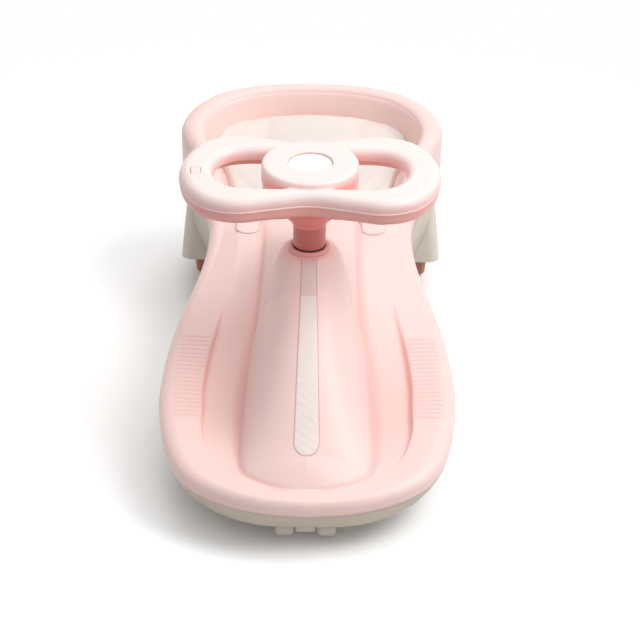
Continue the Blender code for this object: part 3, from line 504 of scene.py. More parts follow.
def cut_away(piece, tool):
    """The piece less the tool, which is then removed."""
    step = piece.modifiers.new("cut", "BOOLEAN")
    step.operation = "DIFFERENCE"
    step.solver = "EXACT"
    step.object = tool
    settled(piece)
    bpy.data.objects.remove(tool, do_unlink=True)
    return piece


def join(piece, other):
    """Adds the mesh of the other piece, which is then removed."""
    work = bmesh.new()
    work.from_mesh(piece.data)
    work.from_mesh(other.data)
    work.to_mesh(piece.data)
    work.free()
    bpy.data.objects.remove(other, do_unlink=True)


def run_together(piece, size=0.0011, rounds=5):
    """Even skin over joined forms, eased so that they run into each other."""
    step = piece.modifiers.new("even", "REMESH")
    step.mode = "VOXEL"
    step.voxel_size = size
    ease = piece.modifiers.new("ease", "SMOOTH")
    ease.factor = 0.5
    ease.iterations = rounds
    return settled(piece)


def cut_flat(piece, z, keep_above):
    """The part of the piece above or below the height z, closed by a flat face."""
    work = bmesh.new()
    work.from_mesh(piece.data)
    made = bmesh.ops.bisect_plane(work, geom=work.verts[:] + work.edges[:] + work.faces[:], dist=0.00001,
                                  plane_co=(0, 0, z), plane_no=(0, 0, 1), clear_inner=keep_above,
                                  clear_outer=not keep_above)
    rim = [e for e in made["geom_cut"] if isinstance(e, bmesh.types.BMEdge)]
    bmesh.ops.triangle_fill(work, use_beauty=True, edges=rim)
    bmesh.ops.recalc_face_normals(work, faces=work.faces)
    work.to_mesh(piece.data)
    work.free()
    return piece


def heights(x, y, target):
    """Heights of a piece under plan points, found by dropping them on it."""
    spots = np.column_stack([np.ravel(x), np.ravel(y), np.full(np.size(x), 0.5)])
    probe = put("probe", mesh_from("probe", spots, []))
    step = probe.modifiers.new("drop", "SHRINKWRAP")
    step.target = target
    step.wrap_method = "PROJECT"
    step.use_project_z = True
    step.use_positive_direction = False
    step.use_negative_direction = True
    found = points_of(settled(probe))[:, 2].reshape(np.shape(x))
    bpy.data.objects.remove(probe, do_unlink=True)
    return found


# Half outline of the body, station by station, as in the solids
half = front_width / 2
long_half = car_length / 2
outline_x = half * np.array([0, .28, .517, .730, .871, .955, .994, 1.0, .972, .921, .843, .770, .736,
                             .736, .778, .862, .948, .975, .926, .822, .650, .336, 0])
outline_y = long_half * np.array([-1, -.987, -.953, -.893, -.810, -.691, -.577, -.473, -.312, -.171, -.026,
                                  .117, .234, .325, .429, .519, .610, .688, .792, .875, .943, .990, 1.0])
inside_y = long_half * np.array([-.870, -.857, -.836, -.800, -.745, -.665, -.569, -.470, -.312, -.171, -.026,
                                 .117, .234, .325, .416, .486, .545, .592, .631, .660, .681, .696, .701])

# Heights at the same stations: ridge, ledge of the foot rest, its brink, and the lower edge
ridge_z = car_height * np.array([.286, .294, .310, .339, .389, .460, .532, .598, .683, .667, .598,
                                 .519, .479, .466, .460, .460, .463, .466, .471, .476, .479, .481, .481])
ledge_z = car_height * np.array([.214, .215, .220, .225, .232, .243, .254, .267, .296, .341, .386, .428, .455,
                                 .466, .468, .468, .471, .474, .479, .484, .487, .489, .489])
brink_z = car_height * np.array([.2050, .2080, .2140, .2230, .2370, .260, .2795, .296, .320, .3466, .3757,
                                 .4074, .4365, .4709, .528, .586, .616, .625, .629, .632, .635, .638, .638])
edge_z = car_height * np.array([.1530, .1545, .1575, .1625, .1715, .1870, .2070, .2240, .2434, .2593, .2804,
                                .3016, .3201, .3439, .3783] + 8 * [.4021])

# Shares of the way out at which the ledge and the brink lie
ledge = np.array([.70, .70, .70, .70, .71, .715, .69, .69, .68, .66, .66, .68, .70, .73,
                  .75, .76, .77, .765, .745, .72, .69, .665, .66])
brink = np.array([.86, .865, .87, .875, .88, .88, .88, .88, .885, .90, .90, .885, .87, .86,
                  .85, .845, .84, .835, .83, .82, .81, .80, .80])

# How much each station belongs to the rolled rim of the seat and to the raised foot rest
rim_part = np.array([0] * 12 + [.1, .4, .75] + [1] * 8)
blade = np.array([0, 0, 0, 0, .15, .7, 1, 1, .8, .3] + [0] * 13)
blade_step = 0.0085
crown = 0.0085
roll_drop = 0.0120

# Foot of the ridge, in shares of the main sizes: height and half width along the body, and its nose
foot_y = np.array([-1.0, -.94, -.78, -.65, -.52, -.39, -.26, -.13, 0, .13, .26, .40, .60, 1.0])
foot_z = np.array([.214, .220, .233, .243, .259, .286, .328, .378, .418, .444, .455, .458, .463, .476])
foot_half = np.array([.444, .444, .444, .438, .427, .416, .371, .354, .343, .337, .337, .337, .337, .337])
foot_nose_y = -.78
foot_nose_reach = .165

# Amount of painted shade, as the deep colour, in the valleys, in the grooves and at the foot rest's step
valley_shade = 0.35
groove_shade = 0.32
step_shade = 0.42


def body_marks():
    """Stations of the fine skin, even ones and seven to each groove of the foot rests, and groove depths."""
    fine = np.linspace(4, 12, 1600)
    share = 0.79
    grip_y = catmull(inside_y, fine) * (1 - share) + catmull(outline_y, fine) * share
    grooves = grip_front_y + groove_pitch * np.arange(groove_count)
    offsets = np.array([-.0032, -.0014, -.0007, 0, .0007, .0014, .0028])
    depth = np.tile([0, 0, .75, 1, .75, 0, 0], groove_count)
    grip = np.interp((grooves[:, None] + offsets).ravel(), grip_y, fine)
    before = np.linspace(0, grip[0] - 0.04, 44)
    after = np.linspace(grip[-1] + 0.05, 22, 96)
    return (np.concatenate([before, grip, after]),
            np.concatenate([np.zeros(len(before)), depth, np.zeros(len(after))]))


def ridge_side(px, py, cy, ledge_share):
    """Share of the way out at which the ridge's side ends: the first outside the foot of the ridge.

    A point is outside it where (x / half width) cubed + (way past the nose's start / its reach) cubed > 1.
    """
    trial = np.linspace(0.05, 0.69, 800)[None]
    x, y = px * trial, cy + (py - cy) * trial
    side = np.interp(y / long_half, foot_y, foot_half) * half
    forward = np.clip((foot_nose_y * long_half - y) / (foot_nose_reach * long_half), 0, None)
    outside = (x / side) ** 3 + forward ** 3 > 1
    first = np.where(outside.any(1), trial[0][outside.argmax(1)], ledge_share[:, 0] * 0.6)[:, None]
    return np.minimum(first, ledge_share - 0.08)


def shares(count):
    """Even shares over 0 to 1, without the first, which the columns before already have."""
    return np.linspace(0, 1, count)[None, 1:]


def upper_grid():
    """Half skin of the upper body and its tint, which is painted shade: rows from nose to back, columns from
    the middle to the edge.

    A point lies at the share t of the way from the middle line to the outline of its station. Over t the
    height runs down the side of the ridge by a power curve, through the foot valley by a smooth step, up
    the step of the foot rest and along it, round the rolled edge by a quarter turn, and down the side.
    """
    marks, groove = body_marks()
    px, py, cy = (catmull(values, marks) for values in (outline_x, outline_y, inside_y))
    px[0] = px[-1] = 0.0
    px, py, cy, groove = px[:, None], py[:, None], cy[:, None], groove[:, None]
    top, tb, tc, zb, zc, ze = (catmull(values, marks)[:, None]
                               for values in (ridge_z, ledge, brink, ledge_z, brink_z, edge_z))
    rim = np.clip(catmull(rim_part, marks), 0, 1)[:, None]
    raised = np.clip(catmull(blade, marks), 0, 1)[:, None]
    step = raised * blade_step
    foot = smooth((np.arange(len(marks)) - 2) / 6)[:, None]

    # Ridge
    ta = ridge_side(px, py, cy, tb)
    za = np.interp((cy + (py - cy) * ta) / long_half, foot_y, foot_z) * car_height
    p = np.linspace(0, 1, 29)[None]
    line_y = cy[:, 0]
    along = cy + (py - cy) * ta * p
    crest = np.interp(along, line_y, top[:, 0]) + 0.42 * np.minimum(along - line_y[0], 0)
    t = [ta * p]
    z = [za + (crest - za) * (1 - p ** 2.3) ** 0.85]
    # Painted shade at the foot of the ridge
    tint = [valley_shade * foot * smooth((p - .90) / .10)]

    # Foot valley
    p = shares(11)
    t.append(ta + (tb - ta) * p)
    z.append(za + (zb - za) * smooth(p))
    # Painted shade in the valley beside the ridge, and a little over the raised foot rest
    tint.append(valley_shade * foot * smooth(1 - p / .35) + 0.12 * raised)

    # Foot rest with its grooves
    p = shares(23)
    cut = groove * smooth((p - 0.10) / 0.08)
    t.append(tb + (tc - tb) * p)
    z.append(zb + step * smooth(np.minimum(1, p * 9)) + (zc - zb - step) * ((1 - rim) * p + rim * smooth(p))
             - groove_depth * cut)
    # Painted shade on the step of the foot rest and in its grooves
    tint.append(step_shade * raised * smooth(1.3 - p / .14) + groove_shade * cut)

    # Rolled edge
    turn = math.pi * shares(14)
    cut = groove * smooth((.62 - turn) / .25)
    zw = zc - roll_drop * (1 - 0.5 * rim)
    t.append(tc + (1 - tc) * ((1 - rim) * np.sin(turn / 2) + rim * (1 - np.cos(turn)) / 2))
    z.append(zw + (zc - zw) * np.cos(turn / 2) + crown * rim * np.sin(turn) - groove_depth * cut)
    # Painted shade in the grooves where they run onto the rolled edge
    tint.append(groove_shade * cut)

    # Side
    p = shares(4)
    t.append(1 - 0.006 * p + 0 * zw)
    z.append(zw + (ze - zw) * p)
    tint.append(0 * z[-1])

    t, z, tint = (np.concatenate(columns, 1) for columns in (t, z, tint))
    grid = np.stack([px * t, cy + (py - cy) * t, z], 2)
    away = np.hypot(grid[..., 0], grid[..., 1] - column_y)
    level = smooth(1 - (away - plateau_radius) / plateau_blend)
    grid[..., 2] = np.where(away < 2 * plateau_radius, z + (hump_top - z) * level, z)
    return grid, tint


# The skin's tint is painted shade in its valleys, grooves and step
skin, skin_shade = upper_grid()
upper_body = walled(mirrored_sheet("upper_skin", skin, body_pink, skin_shade), wall)
finish_piece(upper_body, "car_body", "pink_plastic", "upper_body")


# Lower body: skirt, rounded lower lip and raised floor, in the darker cream of painted shade
lip_radius = 0.003
floor_opening_top = 0.098

# Stations between which the wall steps in behind the front of the wheel arch
step_in_start = 15.42
step_in_end = 15.54


def lower_grid():
    """Half skin from the middle of the floor out to the edge under the upper body.

    At each station the wall stands in by tuck from the outline, leans in by taper down to the height low,
    turns under by a quarter circle and climbs inside to the floor. At the arches the wall steps in.
    """
    marks = np.sort(np.concatenate([np.linspace(0, 22, 200), [15.30, step_in_start, step_in_end]]))
    px, py, cy, ze = (catmull(values, marks) for values in (outline_x, outline_y, inside_y, edge_z))
    px[0] = px[-1] = 0.0
    ze = ze - gap
    tuck = np.interp(marks, [0, 14, 15, step_in_start, step_in_end, 18.6, 20.2, 22],
                     [.004, .004, .003, .001, .040, .048, .016, .005])
    taper = np.interp(marks, [0, 2, 3.2, 8, 12, 13, 14, 15, step_in_start, step_in_end, 19, 22],
                      [.0055, .006, .010, .014, .012, .015, .018, .023, .027, .004, .004, .010])
    low = np.interp(marks, [0, 1.5, 3.2, 7, 12, 15, 22], [.0365, .0370, .0405, .0430, .047, .060, .058])
    floor = np.interp(marks, [0, 9, 12, 22], [.066, .070, .077, .077])
    reach = np.hypot(px, py - cy)
    outer = reach - tuck
    foot = outer - taper
    p = np.linspace(0, 1, 9)
    distance = [outer - taper * q ** 2 for q in p]
    level = [ze + (low + lip_radius - ze) * q for q in p]
    for turn in np.radians(np.linspace(15, 90, 6)):
        distance.append(foot - lip_radius * (1 - math.cos(turn)))
        level.append(low + lip_radius * (1 - math.sin(turn)))
    for inward, z in ((.006, low), (.008, low + .0008), (.010, low + .004),
                      (.0155, floor - .003), (.017, floor - .0006), (.020, floor)):
        distance.append(foot - inward)
        level.append(z)
    for share in (.86, .72, .58, .44, .30, .15, 0):
        distance.append((foot - .020) * share)
        level.append(floor)
    distance, level = np.stack(distance[::-1], 1), np.stack(level[::-1], 1)
    share = distance / reach[:, None]
    return np.stack([px[:, None] * share, cy[:, None] + (py - cy)[:, None] * share, level], 2)


def lower_shell():
    """The lower skin with its wall, and the round opening that the steering arm turns in."""
    shell = walled(mirrored_sheet("lower_skin", lower_grid(), shaded_skirt_cream), skirt_wall, lowest=True)
    opening = [(0, 0), (steering_opening, 0), (steering_opening, floor_opening_top), (0, floor_opening_top)]
    return creased(cut_away(shell, lathe("floor_cutter", opening, shaded_skirt_cream, sides=160)), 40)


finish_piece(lower_shell(), "car_body", "cream_plastic", "lower_body")


# Light strip, with a narrow channel line round it
strip_nose_y = strip_front_y + strip_front_half


def strip_half(y, extra):
    """Half width of the strip: a straight taper with a round end at the nose, set off by extra."""
    part = np.clip((y - strip_rear_y) / (strip_front_y - strip_rear_y), 0, 1)
    reach = strip_rear_half + (strip_front_half - strip_rear_half) * part + extra
    radius = strip_front_half + extra
    end = np.sqrt(np.clip(radius ** 2 - np.clip(strip_nose_y - y, 0, None) ** 2, 4e-8, None))
    return np.where(y < strip_nose_y, np.minimum(reach, end), reach)


def draped(name, extra, rear, columns, lift, look, rounding, ripple=0.0):
    """Band laid over the body: x = reach(y) s with s from -1 to 1, z = skin + lift, eased at its edge.

    The ripple adds ripple sin(2 pi (y + slant x) / pitch), growing from the middle to the nose.
    """
    sunk = 0.0012
    turn = np.linspace(0, math.pi / 2, 30)
    rows = np.concatenate([strip_nose_y - (strip_front_half + extra) * np.cos(turn),
                           np.linspace(strip_nose_y + .001, rear, 260)])
    s = np.sin(np.linspace(-math.pi / 2, math.pi / 2, columns))
    reach = strip_half(rows, extra)[:, None]
    x, y = reach * s, np.repeat(rows[:, None], columns, 1)
    edge = smooth(reach * (1 - np.abs(s)) / rounding)
    ends = smooth(np.minimum(y - rows[0] + .00005, rows[-1] - y) / rounding)
    wave = np.sin(2 * math.pi * (y + ripple_slant * x) / ripple_pitch)
    wave = ripple * wave * smooth((-.215 - y) / .075) * smooth(edge)
    joint = 0.0003 * (ripple > 0) * np.exp(-((y - strip_joint_y) / .0006) ** 2)
    z = heights(x, y, upper_body) - sunk + (lift + sunk) * np.sqrt(edge * ends) + wave - joint
    return piece_from(name, np.stack([x, y, z], 2).reshape(-1, 3), grid_faces(len(rows), columns), look)


lens = draped("light_strip", -0.0004, strip_rear_y - 0.0004, 25, 0.0004, lens_milky, 0.0007, 0.00018)
finish_piece(lens, "car_body", "milky_lens", "light_lens")
channel = draped("strip_channel", 0.0009, strip_rear_y + 0.0004, 21, 0.00012, line_pink, 0.0003)
finish_piece(channel, "car_body", "pink_plastic")


# Rear wheel arches
arch_front_y = rear_axle_y - 0.085
arch_rear_y = rear_axle_y + 0.060
arch_inner_x = 0.1350
arch_low = 0.0600
arch_high = 0.1517
arch_wall = 0.0025
roof_radius = 0.004
front_corner = 0.014
rear_corner = 0.030


def arch(name, side):
    """Cover over a rear wheel: rings of rounded-corner plan, one above the other, closed by a rounded roof.

    A ring's outer side comes in with its height, and its ends lean in by 6 mm from the bottom to the top.
    """
    turn = np.linspace(.25, math.pi / 2, 5)
    level = np.concatenate([np.linspace(arch_low, arch_high - roof_radius, 14),
                            arch_high - roof_radius + roof_radius * np.sin(turn)])
    inset = np.concatenate([np.zeros(14), roof_radius * (1 - np.cos(turn))])
    rings = []
    for z, cut in zip(level, inset):
        outer = np.interp(z, [arch_low, 0.110, arch_high], [0.1745, 0.1695, 0.1650]) - cut
        lean = 0.006 * (z - arch_low) / (arch_high - arch_low) + cut
        front, rear = arch_front_y + lean, arch_rear_y - lean
        ring = np.concatenate([[(arch_inner_x, front), (outer - front_corner - .004, front)],
                               arc(front_corner, (outer - front_corner, front + front_corner), -90, 0, 14),
                               arc(rear_corner, (outer - rear_corner, rear - rear_corner), 0, 86, 18),
                               [(arch_inner_x, rear)]])
        rings.append(np.column_stack([ring, np.full(len(ring), z)]))
    grid = np.array(rings) * (side, 1, 1)
    rows, columns = grid.shape[:2]
    roof = np.arange(columns) + (rows - 1) * columns
    mesh = mesh_from(name, grid.reshape(-1, 3), grid_faces(rows, columns).tolist() + [roof.tolist()])
    return creased(walled(piece_of(name, welded(mesh), cream), arch_wall), 40)


for side, word in ((1, "left"), (-1, "right")):
    finish_piece(arch("arch_cover_" + word, side), "car_body", "cream_plastic", "wheel_arch_" + word)


# Wheels: solid tyres with a rounded tread, dished hubs with six ribs, domed caps
half_wheel = wheel_width / 2
spokes = 6


def tyre_profile(radius, bore):
    """Side wall with a low bead round it, and a tread that is a quarter circle at each edge."""
    edge = wheel_width * 0.30
    return both_sides(np.concatenate([
        [(bore, half_wheel - .0008), (bore + .0012, half_wheel), (bore + .0035, half_wheel)],
        arc(.0008, (bore + .0047, half_wheel - .0001), 150, 30, 5),
        [(radius - edge, half_wheel)], arc(edge, (radius - edge, half_wheel - edge), 84, 0, 14)]))


def hub_profile(radius):
    """Boss, thin web and rim, with small chamfers at the edges."""
    web, rim, boss = .002, radius - .003, axle_bore + .0045
    return both_sides(np.array([
        (axle_bore, half_wheel - .0006), (axle_bore + .0006, half_wheel), (boss - .0006, half_wheel),
        (boss, half_wheel - .0006), (boss + .0005, web + .003), (boss + .003, web), (rim - .004, web),
        (rim - .0008, web + .004), (rim, half_wheel - .0006), (rim + .0006, half_wheel),
        (radius - .0005, half_wheel), (radius, half_wheel - .0005)]))


def hub_ribs(name, radius, centre):
    """Ribs from the boss to the rim: a flat bar turned about the axle in even steps."""
    bar = np.meshgrid((-wheel_width * .40, wheel_width * .40), (.0092, radius - .0034), (-.0013, .0013),
                      indexing="ij")
    x, y, z = np.stack(bar, -1).reshape(-1, 3).T
    c, s = (part[:, None] for part in circle(spokes))
    turned = np.stack([x + 0 * c, y * c - z * s, y * s + z * c], 2).reshape(-1, 3)
    box_faces = np.array([(0, 1, 3, 2), (4, 6, 7, 5), (0, 4, 5, 1), (2, 3, 7, 6), (0, 2, 6, 4), (1, 5, 7, 3)])
    faces = (box_faces + 8 * np.arange(spokes)[:, None, None]).reshape(-1, 4)
    return piece_from(name, turned + np.array(centre), faces, cream, 30)


def wheel(place, word, radius, centre):
    """Tyre, hub and hub ribs of one wheel."""
    body = f"{place}_wheel_{word}"
    core = radius * 0.66
    tyre = lathe(f"{place}_tyre_skin_{word}", tyre_profile(radius, core + gap), tyre_pink, centre, "X")
    finish_piece(tyre, body, "dusty_tyre", f"{place}_tyre_{word}")
    hub = lathe(f"{place}_hub_skin_{word}", hub_profile(core), cream, centre, "X", 96)
    finish_piece(hub, body, "cream_plastic", f"{place}_hub_{word}")
    finish_piece(hub_ribs(f"{place}_hub_ribs_{word}", core, centre), body, "cream_plastic")


def axle_cap(place, word, body, radius, centre, side):
    """Domed cap with a socket for the axle's end, closed outwards."""
    deep = 0.0055
    profile = np.concatenate([
        [(0, deep)], arc(radius * .75, (radius * .25, deep * .25), 88, 20, 10),
        [(radius, deep * .2), (radius, 0), (axle_bore, 0), (axle_bore, deep * .55), (0, deep * .55)]])
    profile[:, 1] = np.minimum(profile[:, 1], deep) * side
    cap = lathe(f"{place}_cap_skin_{word}", profile, cream, centre, "X", 64)
    finish_piece(cap, body, "cream_plastic", f"{place}_cap_{word}")


def roller(word, side):
    """Anti-tip roller: a chamfered bore, flat ends and rounded edges."""
    w = roller_width / 2
    edge = .0055
    profile = both_sides(np.concatenate([
        [(roller_bore, w - .0015), (roller_bore + .0020, w - .0010), (roller_bore + .0032, w)],
        arc(edge, (roller_radius - edge, w - edge), 84, 0, 12)]))
    made = lathe("roller_skin_" + word, profile, roller_cream, (side * roller_x, roller_y, roller_z), "X", 72)
    finish_piece(made, "roller_" + word, "cream_plastic", "anti_tip_roller_" + word)


axles = (("rear", "car_body", rear_wheel_x, rear_axle_y, rear_wheel_radius, 0.0095),
         ("front", "steering", front_wheel_x, front_axle_y, front_wheel_radius, 0.0085))
for side, word in ((1, "left"), (-1, "right")):
    for place, body, x, y, radius, cap_radius in axles:
        wheel(place, word, radius, (side * x, y, radius))
    for place, body, x, y, radius, cap_radius in axles:
        axle_cap(place, word, body, cap_radius, (side * (x + half_wheel + gap), y, radius), side)
    roller(word, side)


# Steering column: collar and seal on the ridge, and a tube with its boss under the steering wheel
ring_bore = .0082
collar_low = hump_top + gap
collar_seat = collar_low + .0022
seal_low = collar_seat + gap
seal_top = collar_low + .0060
tube_low = seal_top + gap
tube_top = rim_bottom - gap
tube_wall = .0030
tube_socket = .020
boss_radius = column_radius + .0092
boss_low = .3088
boss_fall = .0086
boss_step = .0078


def collar():
    """Ring on the ridge with a rounded shoulder and a seat for the seal."""
    inner = column_radius + .0004
    return lathe("collar_ring", np.concatenate([
        [(inner, collar_seat), (inner, collar_low + .0042)],
        arc(.0009, (inner + .0009, collar_low + .0041), 180, 90, 5),
        arc(.0016, (.0229, collar_low + .0034), 90, 0, 8),
        [(.0245, collar_low), (ring_bore, collar_low), (ring_bore, collar_seat), (inner, collar_seat)]]),
        shaded_collar_pink)


def seal():
    """Black ring in the collar, a little higher than it."""
    return lathe("seal_ring", [(ring_bore, seal_top), (column_radius - .0006, seal_top),
                               (column_radius, seal_top - .0006), (column_radius, seal_low),
                               (ring_bore, seal_low), (ring_bore, seal_top)], seal_black)


def column_tube():
    """Tube whose boss narrows by a smooth step to a small ledge, with painted shade, the deep colour, below
    the ledge.
    """
    part = np.linspace(0, 1, 16)
    ledge_z = boss_low - boss_fall - .0017
    tube = lathe("column_tube", np.concatenate([
        [(core_bore, tube_top), (boss_radius, tube_top), (boss_radius, boss_low)],
        np.column_stack([boss_radius - boss_step * smooth(part), boss_low - boss_fall * part]),
        [(column_radius + .0014, ledge_z)], arc(.0010, (column_radius + .0004, ledge_z - .0010), 0, -90, 5),
        [(column_radius, ledge_z - .0025), (column_radius, tube_low + .0006),
         (column_radius - .0006, tube_low), (column_radius - tube_wall, tube_low),
         (column_radius - tube_wall, tube_low + tube_socket), (core_bore, tube_low + tube_socket),
         (core_bore, tube_top)]]), shaded_column_pink)
    # Painted shade below the ledge
    mark_painted_shade(tube, smooth((ledge_z + .0005 - points_of(tube)[:, 2]) / .0040))
    return tube


finish_piece(collar(), "car_body", "pink_plastic", "column_collar")
finish_piece(seal(), "car_body", "black_rubber", "column_seal")
finish_piece(column_tube(), "steering", "pink_plastic", "steering_column")


# Steering wheel
rim_lobe_depth = 0.0880
rim_pinch_depth = 0.0695
opening_middle = 0.069
opening_half_width = 0.046
opening_half_depth = 0.049
opening_inner = 0.052
opening_power = 0.92
badge_recess = 0.0042
badge_recess_radius = 0.0268
button_x = -0.1340
button_y = column_y - 0.0120
button_half_width = 0.00625
button_half_length = 0.0085


def rim_outline(extra=0.0, count=180):
    """Butterfly outline: a closed Catmull-Rom curve through pinch, lobe and grip end of each quarter."""
    w, lobe, pinch = rim_half_width + extra, rim_lobe_depth + extra, rim_pinch_depth + extra
    quarter = np.array([(0.0, pinch), (w * .29, (pinch + lobe) / 2), (w * .56, lobe), (w * .79, lobe * .87),
                        (w * .93, lobe * .56), (w, lobe * .16)])
    right = np.concatenate([quarter, quarter[::-1] * (1, -1)])
    body = np.concatenate([right, (right[::-1] * (-1, 1))[1:-1]])
    where = np.linspace(0, len(body), count, endpoint=False)
    cell = where.astype(int)
    line = between(*(body[(cell + k) % len(body)] for k in (-1, 0, 1, 2)), (where - cell)[:, None])
    return line + (0, column_y)


def opening_outline(side, extra):
    """Hand opening: a superellipse at the grip that runs in under the hub drum at the middle."""
    reach, deep = opening_half_width + extra, opening_half_depth + extra
    a = np.linspace(-math.pi / 2, math.pi / 2, 60)
    grip = np.column_stack([opening_middle + reach * np.cos(a) ** opening_power,
                            deep * np.sign(a) * np.abs(np.sin(a)) ** opening_power])
    hub = arc(opening_inner, (0, 0), 62, -62, 24)
    lead = hub[0, 0] + .006
    line = np.concatenate([grip, [(lead, deep - .0003)], hub, [(lead, .0003 - deep)]])
    return line * (side, 1) + (0, column_y)


def cover_outlines(inset, wider):
    """Outline of a cover, set in by inset, and its two openings, set wider."""
    return [rim_outline(-inset), opening_outline(1, wider), opening_outline(-1, wider)]


def button_outline(extra):
    """Rounded rectangle: a superellipse of power 4."""
    c, s = circle(64)
    return np.column_stack([button_x + (button_half_width + extra) * np.sign(c) * np.abs(c) ** .5,
                            button_y + (button_half_length + extra) * np.sign(s) * np.abs(s) ** .5])


def drum(name, low, high, radius, top):
    """Hub drum with a rounded upper edge; top closes its profile at the middle."""
    edge = .0045
    profile = np.concatenate([[(0, low), (radius - .0012, low), (radius, low + .002)],
                              arc(edge, (radius - edge, high - edge), 0, 90, 8), top])
    return lathe(name, profile, wheel_pink, sides=160)


def top_cover():
    """Upper half: a rounded plate run together with the hub drum, less the button's hole.

    Painted shade, as the deep colour, grows downwards from the rim's top, and at the hub from the hub's top.
    """
    low = rim_parting - .0165
    made = plate("wheel_top_skin", cover_outlines(0.0, -.0002), low, rim_top, .0110, cover_pink, 8)
    recess = [(badge_recess_radius, hub_top), (badge_recess_radius, hub_top - badge_recess),
              (0, hub_top - badge_recess)]
    join(made, drum("hub_drum", rim_parting - .004, hub_top, hub_radius, recess))
    cut_flat(run_together(made), rim_parting, True)
    hole = plate("button_hole", [button_outline(gap)], rim_top - .012, rim_top + .010, 0.0, cover_pink)
    cut_away(made, hole)
    x, y, z = points_of(made).T
    hub = smooth((hub_radius + .004 - np.hypot(x, y - column_y)) / .003)
    peak = rim_top - .0030 + (hub_top - .0010 - rim_top + .0030) * hub
    # Painted shade, deeper down the walls of the rim and the hub
    mark_painted_shade(made, (0.62 + 0.30 * hub) * smooth((peak - z) / .0150))
    return creased(made, 50)


def pan_cover():
    """Lower half in the darker pink of painted shade: a rounded pan with wide openings, a lip that stands in
    them, and the foot of the hub.
    """
    high, parting = rim_parting + .016, rim_parting - gap
    made = plate("wheel_pan_skin", cover_outlines(.0006, .0140), rim_bottom, high, .0085, shaded_pan_pink, 8)
    join(made, plate("pan_lip", cover_outlines(.0100, .0065), rim_bottom + .0095, high, .0030, shaded_pan_pink, 4))
    join(made, drum("pan_drum", rim_bottom, parting + .004, hub_radius - .0012, [(0, parting + .004)]))
    return creased(cut_flat(run_together(made), parting, False), 50)


def button_cap():
    """Push button, level with the grip but for 0.2 mm."""
    return creased(plate("button_cap", [button_outline(-gap)], rim_top - .0049, rim_top + .0002, .0010,
                         wheel_pink, 5), 60)


def sound_dots(target):
    """Row of small holes for sound, drawn as low discs in the darker pan pink, painted shade standing for the
    holes, along the outer shoulder of the right grip.
    """
    line = rim_outline(-0.0075, 720)
    away = np.cumsum(np.linalg.norm(np.diff(line, axis=0), axis=1))
    chosen = np.flatnonzero((line[:, 0] < -.128) & (np.abs(line[:, 1] - column_y - .005) < .047))
    spots = np.arange(away[chosen[0]], away[chosen[-1]], 0.0068)
    middle = line[chosen[np.searchsorted(away[chosen], spots)]]
    sides = 12
    c, s = circle(sides)
    disc = np.concatenate([np.stack([.0009 * c, .0009 * s, np.full(sides, -.0010)], 1),
                           np.stack([.0007 * c, .0007 * s, np.zeros(sides)], 1)])
    centres = np.column_stack([middle, heights(middle[:, 0], middle[:, 1], target) + .00035])
    points = (centres[:, None] + disc).reshape(-1, 3)
    base = 2 * sides * np.arange(len(centres))[:, None, None]
    walls = (ring_faces(2, sides) + base).reshape(-1, 4)
    caps = np.arange(sides) + sides + base[..., 0]
    return piece_of("sound_dots", mesh_from("sound_dots", points, walls.tolist() + caps.tolist()), shaded_pan_pink)


def badge():
    """Bare disc with a rounded edge, sunk in the hub."""
    top, low = hub_top - .0026, hub_top - .0041
    return lathe("badge_disc", np.concatenate([[(0, top), (.0240, top)],
                                               arc(.0009, (.0254, top - .0010), 90, 0, 6),
                                               [(.0263, low), (0, low)]]), badge_white)


upper_cover = top_cover()
finish_piece(upper_cover, "steering", "pink_plastic", "wheel_upper_cover")
finish_piece(pan_cover(), "steering", "pink_plastic", "wheel_lower_cover")
finish_piece(button_cap(), "button", "pink_plastic", "music_button")
rib = bead("parting_bead", rim_outline(-0.0006), rim_parting + 0.0002, 0.0013, bead_pink)
finish_piece(rib, "steering", "pink_plastic")
finish_piece(sound_dots(upper_cover), "steering", "pink_plastic")
finish_piece(badge(), "steering", "white_badge", "badge_cap")
badge_ring = 0.0266 * np.column_stack(circle(96)) + (0, column_y)
badge_edge = bead("badge_edge", badge_ring, hub_top - .0024, 0.00055, line_pink)
finish_piece(badge_edge, "steering", "pink_plastic")


# Seat pad: closed cushion round the rear of the ridge, with flat tongues beside it and a raised back
notch_half = 0.0665
notch_depth = 0.7 * notch_half
notch_start_y = 0.1500 - notch_depth
pad_front_y = 0.0860
pad_shoulder_y = 0.2820
pad_rear_y = 0.3520
pad_half_width = 0.1290
tip_length = 0.010
edge_share = 0.12


